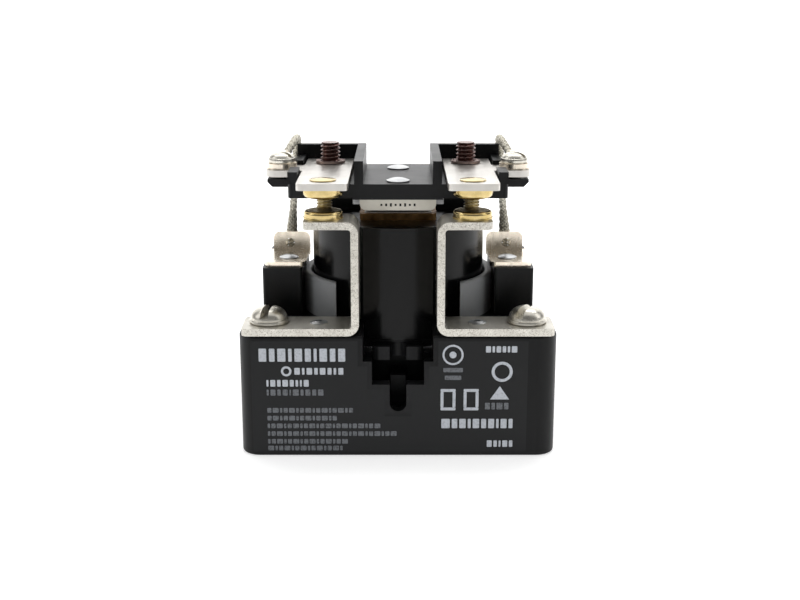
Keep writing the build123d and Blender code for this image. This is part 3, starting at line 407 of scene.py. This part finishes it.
def printing(name, thin, full):
    """Light ink on the film, thin in places."""
    s = Shader(name, "moulded_black").set(IOR=1.45)
    patches = s.noise(2600, 3)
    tone = s.ramp(patches, [(0.28, thin), (0.52, full)])
    return s.link(Base_Color=tone, Roughness=s.grey_ramp(patches, 0.45, 0.55))


def ink():
    """The bright print."""
    return printing("ink", (0.42, 0.45, 0.49), (0.58, 0.61, 0.66))


def faint_ink():
    """The small grey print."""
    return printing("faint_ink", (0.05, 0.055, 0.06), (0.15, 0.16, 0.175))


MATERIALS = {
    make.__name__: make()
    for make in (
        moulded_black, cuff_black_painted_light, label_film, tape_black, nickel, screw_nickel, armature_nickel,
        strap_nickel, tin, gold, brass, dark_screw, steel, copper, braid, lead_sleeve, ink, faint_ink, dot_shade_and_dirt,
    )
}


def wear(piece, name):
    """Gives a piece one material."""
    shader = MATERIALS[name]
    piece.data.materials.clear()
    piece.data.materials.append(shader.material)


# --- Mesh helpers -----------------------------------------------------------------------

def new_piece(name, mesh, material):
    """A smooth piece in the scene, not yet on a body."""
    piece = bpy.data.objects.new(name, mesh)
    bpy.context.collection.objects.link(piece)
    wear(piece, material)
    mesh.shade_smooth()
    return piece


def add_piece(name, mesh, material, body, sharp=TURNED_SHARP):
    """A finished piece: in the scene, shaded, riding on its body."""
    piece = new_piece(name, mesh, material)
    mesh.set_sharp_from_angle(angle=math.radians(sharp))
    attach(piece, body)
    return piece


def mesh_of(name, build):
    """A mesh from a function that fills a bmesh."""
    shape = bmesh.new()
    build(shape)
    bmesh.ops.recalc_face_normals(shape, faces=shape.faces)
    mesh = bpy.data.meshes.new(name)
    shape.to_mesh(mesh)
    shape.free()
    return mesh


def around(centre, radius, angle, z):
    """A place at the given angle about an upright axis."""
    return centre[0] + radius * math.cos(angle), centre[1] + radius * math.sin(angle), z


def bridge(shape, first, second):
    """Quads between two rings of the same length."""
    count = len(first)
    for step in range(count):
        following = (step + 1) % count
        shape.faces.new((first[step], first[following], second[following], second[step]))


def loft(shape, rings):
    """A closed skin through rings of vertices, with a flat face on each end."""
    for first, second in zip(rings, rings[1:]):
        bridge(shape, first, second)
    shape.faces.new(reversed(rings[0]))
    shape.faces.new(rings[-1])


def plate(shape, front, back):
    """A thin plate between two outlines with the same number of points."""
    loft(shape, [[shape.verts.new(point) for point in outline] for outline in (front, back)])


def lathe(shape, centre, profile, count=72):
    """Turned form from (radius, height) points; both ends are closed."""
    loft(shape, [
        [shape.verts.new(around(centre, radius, TURN * step / count, z)) for step in range(count)]
        for radius, z in profile
    ])


def threaded_rod(shape, centre, radius, low, high, pitch, depth, count=48, rows=8):
    """A rod with a real helical thread that fades out at both ends."""
    height = high - low
    steps = max(2, round(height / pitch * rows))
    run_out = 0.6 * pitch
    start_fade = 0.05
    flank = 1.7  # how steep the sides of the thread are
    root = 0.35  # how wide the bottom of the groove is
    rings = []
    for row in range(steps + 1):
        z = low + height * row / steps
        fade = max(0.0, min(1.0, (high - z) / run_out, (z - low) / run_out + start_fade))
        ring = []
        for step in range(count):
            phase = ((z - low) / pitch - step / count) % 1.0
            tooth = 1 - abs(2 * phase - 1)
            groove = depth * (1 - min(1.0, max(0.0, tooth * flank - root)))
            reach = radius - groove * fade - depth / 2 * (1 - fade)
            ring.append(shape.verts.new(around(centre, reach, TURN * step / count, z)))
        rings.append(ring)
    loft(shape, rings)


def middle_of(node):
    """Centre of a node's box in plan, and its lowest and highest levels."""
    low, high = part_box(node)
    return ((low[0] + high[0]) / 2, (low[1] + high[1]) / 2), low[2], high[2]


def cut(piece, cutter_mesh, name):
    """Takes a cutter's volume out of a piece."""
    cutter = bpy.data.objects.new(name, cutter_mesh)
    bpy.context.collection.objects.link(cutter)
    modifier = piece.modifiers.new("cut", "BOOLEAN")
    modifier.operation = "DIFFERENCE"
    modifier.solver = "EXACT"
    modifier.object = cutter
    apply_modifiers(piece)
    bpy.data.objects.remove(cutter)


def apply_modifiers(piece):
    """Writes a piece's modifiers into its mesh."""
    depsgraph = bpy.context.evaluated_depsgraph_get()
    mesh = bpy.data.meshes.new_from_object(piece.evaluated_get(depsgraph))
    piece.modifiers.clear()
    old = piece.data
    piece.data = mesh
    bpy.data.meshes.remove(old)


def soften(piece, width):
    """Rounds the sharp edges of a piece."""
    bevel = piece.modifiers.new("edges", "BEVEL")
    bevel.width = width
    bevel.segments = 2
    bevel.limit_method = "ANGLE"
    bevel.angle_limit = math.radians(50)
    bevel.harden_normals = True


def box_mesh(name, low, high, turn, pivot):
    """A plain block, turned about an upright axis, used only as a cutter."""
    def build(shape):
        bmesh.ops.create_cube(shape, size=1.0)
        size = [b - a for a, b in zip(low, high)]
        centre = [(a + b) / 2 for a, b in zip(low, high)]
        bmesh.ops.scale(shape, vec=size, verts=shape.verts)
        bmesh.ops.translate(shape, vec=centre, verts=shape.verts)
        bmesh.ops.rotate(shape, cent=(*pivot, 0), matrix=Matrix.Rotation(turn, 3, "Z"), verts=shape.verts)
    return mesh_of(name, build)


# --- Screws and studs -------------------------------------------------------------------

def head_profile(radius, seat, brim, top):
    """Outline of a binding head, from its underside up: a brim, a small ledge and a flattened dome."""
    rise = top - seat - brim
    shoulder = radius * 0.93
    dome_steps = 12
    flatness = 0.8
    profile = [(radius * 0.55, seat), (radius * 0.95, seat), (radius, seat + 0.2 * brim)]
    profile += [(radius, seat + 0.8 * brim), (radius * 0.98, seat + brim), (shoulder, seat + 1.08 * brim)]
    for step in range(1, dome_steps):
        angle = math.pi / 2 * step / dome_steps
        profile.append((shoulder * math.cos(angle) ** flatness, seat + brim + rise * math.sin(angle)))
    profile.append((radius * 0.08, top))
    return profile


def slotted_screw(stem, side, body, seat, turn, size):
    """A slotted screw with a turned head and a threaded shank."""
    node = f"{stem}_{side}"
    name = f"{stem}_head_{side}"
    centre, low, high = middle_of(node)
    radius = size["head_radius"]
    half = size["slot_width"] / 2
    reach = radius * 1.2

    def build(shape):
        lathe(shape, centre, head_profile(radius, seat, size["brim"], high))

    piece = add_piece(name, mesh_of(name, build), "screw_nickel", body)
    slot_low = (centre[0] - half, centre[1] - reach, high - size["slot_depth"])
    slot_high = (centre[0] + half, centre[1] + reach, high + MM)
    slot = box_mesh(name + "_slot", slot_low, slot_high, math.radians(turn), centre)
    cut(piece, slot, name + "_cutter")
    piece.data.set_sharp_from_angle(angle=math.radians(TURNED_SHARP))
    soften(piece, SLOT_EDGE)

    def build_shank(shape):
        top = seat + SHANK_LAP
        threaded_rod(shape, centre, size["shank_radius"], low, top, size["pitch"], SCREW_THREAD_DEPTH)

    add_piece(name + "_thread", mesh_of(name + "_thread", build_shank), "screw_nickel", body)
    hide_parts(node)


def terminal_screws():
    """The two binding-head screws in the feet of the straps."""
    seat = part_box("contact_bracket_right")[0][2] + STRAP_THICKNESS
    for side in SIDES:
        slotted_screw("terminal_screw", side, f"screw_{side}", seat, TERMINAL_TURNS[side], TERMINAL_SCREW)


def ear_screws():
    """The smaller screws that clamp the pigtail lugs."""
    for side in SIDES:
        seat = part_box(f"contact_arm_{side}")[1][2] + LUG_THICKNESS
        slotted_screw("ear_screw", side, f"arm_{side}", seat, EAR_TURN, EAR_SCREW)


def threaded_studs():
    """The studs above the arms and the stop screws under them."""
    for side in SIDES:
        for stem, (pitch, depth, material) in STUDS.items():
            node = f"{stem}_{side}"
            name = f"{stem}_thread_{side}"
            centre, low, high = middle_of(node)
            radius = (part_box(node)[1][0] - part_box(node)[0][0]) / 2

            def build(shape):
                threaded_rod(shape, centre, radius, low, high, pitch, depth, 56, 10)

            piece = add_piece(name, mesh_of(name, build), material, "armature", THREAD_SHARP)
            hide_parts(node)


def finish_frame_nodes():
    """Materials, and edges softened by so many millimetres, for the CAD pieces that stay."""
    looks = {
        "base": ("moulded_black", 0.18),
        "locating_key": ("moulded_black", 0.15),
        "contact_carrier": ("moulded_black", 0.14),
        "coil_bobbin": ("moulded_black", 0.12),
        "coil_wrap": ("tape_black", 0.0),
        "coil_winding": ("copper", 0.0),
        "shading_ring": ("copper", 0.08),
        "heelpiece": ("steel", 0.1),
        "core": ("steel", 0.08),
        "core_screw": ("steel", 0.08),
        "hinge_bracket": ("steel", 0.1),
        "hinge_bracket_rivets": ("steel", 0.1),
        "hinge_pin": ("steel", 0.1),
        "backstop": ("steel", 0.1),
        "armature_plate": ("armature_nickel", 0.12),
        "carrier_rivets": ("steel", 0.05),
    }
    paired = {
        # The cuffs take the lit copy of the black moulding, with painted light in its colour.
        "coil_cuff": ("cuff_black_painted_light", 0.12),
        "contact_arm": ("nickel", 0.14),
        "moving_contact": ("gold", 0.06),
        "pigtail_lug": ("tin", 0.06),
        "arm_post_ring": ("dark_screw", 0.08),
        "contact_bracket": ("strap_nickel", 0.14),
        "fixed_contact": ("gold", 0.05),
        "bracket_foot_rivet": ("steel", 0.05),
        "rear_terminal": ("tin", 0.1),
        "rear_terminal_rivet": ("steel", 0.05),
        "coil_terminal": ("tin", 0.08),
        "coil_lead": ("lead_sleeve", 0.0),
    }
    for name, look in paired.items():
        for side in SIDES:
            looks[f"{name}_{side}"] = look
    for node, (material, edge) in looks.items():
        piece = frame["nodes"][node]
        piece.data.materials.clear()
        piece.data.materials.append(MATERIALS[material].material)
        if edge:
            soften(piece, edge * MM)


# --- Braided pigtails and the return spring ---------------------------------------------

# The CAD braid's route on the right side, in millimetres
PIGTAIL_ROUTE = [
    (24.1, 25.4, 56.8), (24.1, 28.6, 56.8), (22.5, 33.6, 59.5), (22.0, 38.9, 59.7), (23.0, 42.6, 55.4),
    (23.2, 41.6, 49.6), (23.2, 37.6, 45.7), (23.1, 33.2, 42.9), (23.5, 31.4, 36.6),
]
FRONT_TO_CENTRE = 30.5  # the route counts its depth from the front of the base

STRANDS = 6  # strand groups wound each way
BRAID_CORE = 0.52 * MM
BRAID_REACH = 0.60 * MM
BRAID_LAY = 4.6 * MM  # length of one turn
BRAID_WEAVE = 0.075 * MM  # how far a strand dips under and over the others
BRAID_FLARE = 0.75 * MM  # extra half width where the end is pressed flat
BRAID_FLARE_START = 0.8  # part of the length before it
BRAID_STRAND = 0.2106 * MM

SPRING_RADIUS = 1.32 * MM
SPRING_WIRE = 0.27 * MM
SPRING_LENGTH = 12.6 * MM
SPRING_TURNS = 21
SPRING_ANCHOR = 2.0 * MM  # height of the anchor that the lower hook goes through
SPRING_NECK = 1.4 * MM  # room between the anchor and the coil
HOOK_RISE = 1.5 * MM


def smooth_path(name, points):
    """Points along the NURBS curve that has the given control points."""
    curve = bpy.data.curves.new(name, "CURVE")
    curve.dimensions = "3D"
    spline = curve.splines.new("NURBS")
    spline.points.add(len(points) - 1)
    for point, place in zip(spline.points, points):
        point.co = (*place, 1)
    spline.order_u = 3
    spline.use_endpoint_u = True
    spline.resolution_u = 24
    holder = bpy.data.objects.new(name, curve)
    mesh = bpy.data.meshes.new_from_object(holder)
    path = [vertex.co.copy() for vertex in mesh.vertices]
    bpy.data.objects.remove(holder)
    bpy.data.curves.remove(curve)
    bpy.data.meshes.remove(mesh)
    return path


def frames_along(path):
    """A point, a side vector and an up vector at each step, without twist."""
    frames = []
    side = Vector((1, 0, 0))
    for index, point in enumerate(path):
        ahead = path[min(index + 1, len(path) - 1)]
        behind = path[max(index - 1, 0)]
        tangent = (ahead - behind).normalized()
        side = (side - tangent * side.dot(tangent)).normalized()
        frames.append((point, side.copy(), tangent.cross(side)))
    return frames


def tube(shape, path, radius, count=8):
    """A round strand along a path."""
    rings = []
    for point, side, up in frames_along(path):
        ring = []
        for step in range(count):
            angle = TURN * step / count
            ring.append(shape.verts.new(point + radius * (side * math.cos(angle) + up * math.sin(angle))))
        rings.append(ring)
    loft(shape, rings)


def lengths_along(path):
    """How far each point lies along the path."""
    lengths = [0.0]
    for first, second in zip(path, path[1:]):
        lengths.append(lengths[-1] + (second - first).length)
    return lengths


def braid_strand(path, way, strand):
    """One strand group: a helix that weaves through the others and spreads at the flattened end."""
    lengths = lengths_along(path)
    line = []
    for (point, across, up), length in zip(frames_along(path), lengths):
        angle = way * TURN * length / BRAID_LAY + TURN * strand / STRANDS
        reach = BRAID_REACH + BRAID_WEAVE * math.sin(way * STRANDS * angle / 2 + strand * math.pi)
        spread = (length / lengths[-1] - BRAID_FLARE_START) / (1 - BRAID_FLARE_START)
        flare = BRAID_FLARE * max(0.0, spread)
        line.append(point + across * math.cos(angle) * (reach + flare) + up * math.sin(angle) * reach)
    return line


def pigtails():
    """Each pigtail is a braid of strand groups wound both ways over a core, flattened at its end."""
    for side, sign in SIDES.items():
        route = [(sign * x * MM, (y - FRONT_TO_CENTRE) * MM, z * MM) for x, y, z in PIGTAIL_ROUTE]
        path = smooth_path(f"pigtail_path_{side}", route)

        def build(shape):
            tube(shape, path, BRAID_CORE, 10)
            for way in (1, -1):
                for strand in range(STRANDS):
                    tube(shape, braid_strand(path, way, strand), BRAID_STRAND, 6)

        name = f"pigtail_braid_{side}"
        piece = new_piece(name, mesh_of(name, build), "braid")
        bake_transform(piece)
        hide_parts(f"pigtail_{side}")


def helix(centre, radius, low, high, turns, steps=22):
    """Points of an upright helix."""
    total = max(2, round(turns * steps))
    return [
        Vector(around(centre, radius, TURN * turns * step / total, low + (high - low) * step / total))
        for step in range(total + 1)
    ]


def spring_hook(centre, level, rise, steps=8):
    """A half loop across the end of the coil, bulging up or down."""
    points = []
    for step in range(steps + 1):
        angle = math.pi * step / steps
        points.append(Vector((
            centre[0] + SPRING_RADIUS * math.cos(angle),
            centre[1],
            level + rise * math.sin(angle),
        )))
    return points


def return_spring():
    """The close-wound spring with a hook through the tail and one through its anchor."""
    centre, low, _ = middle_of("return_spring")
    coil_low = low + SPRING_ANCHOR + SPRING_NECK
    coil_high = coil_low + SPRING_LENGTH

    def build(shape):
        tube(shape, helix(centre, SPRING_RADIUS, coil_low, coil_high, SPRING_TURNS), SPRING_WIRE)
        tube(shape, spring_hook(centre, coil_high, HOOK_RISE), SPRING_WIRE)
        tube(shape, spring_hook(centre, coil_low, -HOOK_RISE), SPRING_WIRE)

    piece = new_piece("return_spring_coil", mesh_of("return_spring_coil", build), "steel")
    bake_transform(piece)
    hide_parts("return_spring")


# --- Printed marks ----------------------------------------------------------------------
# Places and sizes of the marks on the front face are in millimetres, across and up.

FILM_PROUD = 0.004 * MM
INK_PROUD = 0.008 * MM
BAR_CORNER = 0.12
RING_STEPS = 36
PLATE_FRONT = -20.3 * MM  # where the armature's front edge stands when it is closed
STAMP_DOTS = 8
STAMP_PITCH = 0.95 * MM
STAMP_HALF_WIDTH = 0.2 * MM
STAMP_HALF_HEIGHT = 0.21 * MM
STAMP_GROWTH = 0.06 * MM  # from one dot to the next, over every three
FILM_OUTLINE = [
    (-29.2, 0.9), (25.8, 0.9), (25.8, 24.1), (8.0, 24.1),
    (8.0, 18.9), (6.2, 18.9), (6.2, 14.1), (2.7, 14.1), (2.7, 8.4),
    (-2.7, 8.4), (-2.7, 14.1), (-6.2, 14.1), (-6.2, 18.9), (-8.0, 18.9),
    (-8.0, 24.1), (-29.2, 24.1),
]


class Print:
    """Flat marks on the base's front face, gathered into one mesh."""

    def __init__(self, proud):
        self.shape = bmesh.new()
        self.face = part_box("base")[0][1] - proud
        self.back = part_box("base")[0][1] + INK_PROUD

    def slab(self, points):
        """A thin mark with the given outline."""
        front, back = [[(x * MM, y, z * MM) for x, z in points] for y in (self.face, self.back)]
        plate(self.shape, front, back)

    def bar(self, x, z, width, height):
        """A bar with clipped corners."""
        c = min(BAR_CORNER, width / 3, height / 3)
        self.slab([
            (x + c, z), (x + width - c, z), (x + width, z + c), (x + width, z + height - c),
            (x + width - c, z + height), (x + c, z + height), (x, z + height - c), (x, z + c),
        ])

    def ring(self, x, z, outer, inner):
        """A flat ring, or a disc when it has no inner radius."""
        for step in range(RING_STEPS):
            a = TURN * step / RING_STEPS
            b = TURN * (step + 1) / RING_STEPS
            inside = [(inner, b), (inner, a)] if inner else [(0.0, 0.0)]
            corners = [(outer, a), (outer, b), *inside]
            self.slab([(x + r * math.cos(angle), z + r * math.sin(angle)) for r, angle in corners])

    def dashes(self, x, z, height, widths, gap=0.36):
        """A row of plain dashes that stands for a line of print."""
        for width in widths:
            self.bar(x, z, width, height)
            x += width + gap

    def frame(self, x, z, width, height, thick):
        """A plain rectangular outline."""
        self.bar(x, z, width, thick)
        self.bar(x, z + height - thick, width, thick)
        self.bar(x, z + thick, thick, height - 2 * thick)
        self.bar(x + width - thick, z + thick, thick, height - 2 * thick)

    def finish(self, name, material):
        """Turns the marks into one piece on the base."""
        bmesh.ops.recalc_face_normals(self.shape, faces=self.shape.faces)
        mesh = bpy.data.meshes.new(name)
        self.shape.to_mesh(mesh)
        self.shape.free()
        add_piece(name, mesh, material, "root", FLAT_SHARP)


def label():
    """The film that carries the print."""
    film = Print(FILM_PROUD)
    film.slab(FILM_OUTLINE)
    film.finish("label_film", "label_film")


def bold_marks():
    """Abstract marks in bright ink: rows of dashes, rings, two frames and a triangle, no words."""
    bold = Print(INK_PROUD)
    bold.dashes(-27.6, 19.9, 2.7, (1.5, 1.1, 1.6, 0.7, 1.5, 1.2, 0.6, 1.5, 1.1, 1.4), 0.55)
    bold.ring(-22.2, 17.9, 1.05, 0.6)
    bold.dashes(-20.6, 17.2, 1.4, (1.1, 0.5, 1.1, 0.7, 1.1, 0.8, 0.5, 1.0), 0.42)
    bold.dashes(-26.2, 14.7, 1.4, (0.4, 1.0, 0.7, 1.1, 0.8, 0.5, 0.4, 1.0), 0.36)
    bold.ring(10.9, 21.3, 2.1, 1.7)
    bold.ring(10.9, 21.3, 0.7, 0.0)
    bold.dashes(17.4, 21.8, 1.3, (1.0, 0.5, 0.9, 0.7, 0.5, 1.1), 0.3)
    bold.ring(20.7, 17.8, 2.1, 1.5)
    bold.frame(8.5, 9.7, 3.0, 4.5, 0.6)
    bold.frame(13.1, 9.7, 3.0, 4.5, 0.6)
    bold.slab([(18.4, 12.0), (22.2, 12.0), (20.3, 14.8)])
    bold.dashes(8.7, 5.9, 2.0, (1.7, 1.1, 1.3, 0.6, 1.3, 1.0, 1.2, 0.5, 1.2, 0.8), 0.4)
    bold.dashes(17.9, 1.9, 1.4, (1.0, 0.7, 0.4, 1.0, 0.7), 0.34)
    bold.finish("printed_marks", "ink")


def faint_marks():
    """Rows of small grey dashes, each row a level and a number of dashes, and a few more marks."""
    faint = Print(INK_PROUD)
    faint.dashes(-26.2, 12.8, 1.3, (0.4, 1.0, 0.7, 1.0, 0.3, 1.2, 0.6, 1.0, 0.8, 1.1), 0.36)
    rows = [(9.2, 16), (7.55, 13), (5.9, 21), (4.25, 24), (2.6, 15), (1.15, 14)]
    for z, count in rows:
        widths = [0.5 + 0.35 * ((step * 7 + count) % 3) for step in range(count)]
        faint.dashes(-26.2, z, 1.0, widths, 0.24)
    faint.bar(9.0, 17.7, 3.9, 0.9)
    faint.bar(9.3, 16.1, 3.3, 0.9)
    faint.dashes(17.4, 9.9, 1.4, (1.0, 0.7, 1.2, 0.9), 0.3)
    faint.finish("printed_small_marks", "faint_ink")


def printed_marks():
    """The label film and the marks in both inks."""
    label()
    bold_marks()
    faint_marks()


def armature_stamp():
    """A faint row of punched dots on the front edge of the armature, drawn as flat dark marks of painted
    shade, with dirt.
    """
    joints = {joint["name"]: joint for joint in frame["record"]["behaviour"]["joints"]}
    joint = joints["armature_hinge"]
    hinge = Vector(joint["pos_m"])
    lift = Matrix.Rotation(-math.radians(joint["range_deg"][1]), 4, "X")
    opened = Matrix.Translation(hinge) @ lift @ Matrix.Translation(-hinge)

    def build(shape):
        for step in range(STAMP_DOTS):
            x = (step - (STAMP_DOTS - 1) / 2) * STAMP_PITCH
            half = STAMP_HALF_HEIGHT + STAMP_GROWTH * (step % 3)
            corners = [(-1, -1), (1, -1), (1, 1), (-1, 1)]
            front, back = [
                [opened @ Vector((x + a * STAMP_HALF_WIDTH, y, hinge.z + b * half)) for a, b in corners]
                for y in (PLATE_FRONT - INK_PROUD, PLATE_FRONT + INK_PROUD)
            ]
            plate(shape, front, back)

    mesh = mesh_of("armature_stamp", build)
    # The dots carry painted shade, with dirt.
    add_piece("armature_stamp", mesh, "dot_shade_and_dirt", "armature", FLAT_SHARP)


# --- Stage ------------------------------------------------------------------------------

FLOOR_HALF_WIDTH = 1.6
FLOOR_FRONT = -2.0
SWEEP_START = 0.75
SWEEP_RADIUS = 0.35
SWEEP_STEPS = 16
BACKDROP_TOP = 1.6

AIM = (0, 0, 0.03)
LIGHTS = {  # place, aim, size in metres, watts
    "top_panel": ((0, 0.05, 0.75), AIM, (1.0, 1.0), 2.0),
    "left_panel": ((-0.6, -0.1, 0.4), AIM, (0.35, 0.5), 0.7),
    "right_panel": ((0.6, -0.1, 0.4), AIM, (0.35, 0.5), 0.7),
    "back_panel": ((0, 0.3, 0.9), (0, 1.0, 0.3), (1.2, 0.4), 7),
}
ROOM_STRENGTH = 0.18
WHITE = (1, 1, 1, 1)


def stage():
    """Pale floor that runs up into a backdrop."""
    def build(shape):
        outline = [(FLOOR_FRONT, 0.0), (SWEEP_START, 0.0)]
        for step in range(1, SWEEP_STEPS + 1):
            angle = math.pi / 2 * step / SWEEP_STEPS
            rise = SWEEP_RADIUS - SWEEP_RADIUS * math.cos(angle)
            outline.append((SWEEP_START + SWEEP_RADIUS * math.sin(angle), rise))
        outline.append((SWEEP_START + SWEEP_RADIUS, BACKDROP_TOP))
        sides = (-FLOOR_HALF_WIDTH, FLOOR_HALF_WIDTH)
        rows = [[shape.verts.new((x, y, z)) for x in sides] for y, z in outline]
        for first, second in zip(rows, rows[1:]):
            shape.faces.new((first[0], first[1], second[1], second[0]))

    mesh = mesh_of("floor", build)
    floor = bpy.data.objects.new("floor", mesh)
    bpy.context.collection.objects.link(floor)
    mesh.shade_smooth()
    s = Shader("floor_paper", "floor").set(Roughness=0.75, Emission_Strength=0.55, Emission_Color=WHITE)
    s.link(Base_Color=s.grey_ramp(s.noise(6, 2), 0.86, 0.90))
    mesh.materials.append(s.material)


def area_light(name, place, target, size, power):
    """A rectangular soft light aimed at a point."""
    light = bpy.data.lights.new(name, "AREA")
    light.shape = "RECTANGLE"
    light.size, light.size_y = size
    light.energy = power
    lamp = bpy.data.objects.new(name, light)
    bpy.context.collection.objects.link(lamp)
    lamp.location = place
    lamp.rotation_euler = (Vector(target) - Vector(place)).to_track_quat("-Z", "Y").to_euler()


def lights():
    """Soft panels overhead and at the sides, a strong one on the backdrop, and a dim room."""
    for name, settings in LIGHTS.items():
        area_light(name, *settings)
    world = bpy.data.worlds.new("dim_room")
    bpy.context.scene.world = world
    world.use_nodes = True
    background = world.node_tree.nodes["Background"]
    background.inputs["Color"].default_value = WHITE
    background.inputs["Strength"].default_value = ROOM_STRENGTH
    bpy.context.scene.view_settings.view_transform = "Standard"


def camera():
    """The photograph's view: level, slightly above, looking straight at the front."""
    data = bpy.data.cameras.new("camera")
    data.lens = CAMERA_LENS
    data.sensor_width = CAMERA_SENSOR
    viewer = bpy.data.objects.new("camera", data)
    bpy.context.collection.objects.link(viewer)
    viewer.location = CAMERA_PLACE
    viewer.rotation_euler = (math.radians(90 - CAMERA_PITCH), 0, 0)
    bpy.context.scene.camera = viewer


camera()
finish_frame_nodes()
terminal_screws()
ear_screws()
threaded_studs()
pigtails()
return_spring()
printed_marks()
armature_stamp()
stage()
lights()
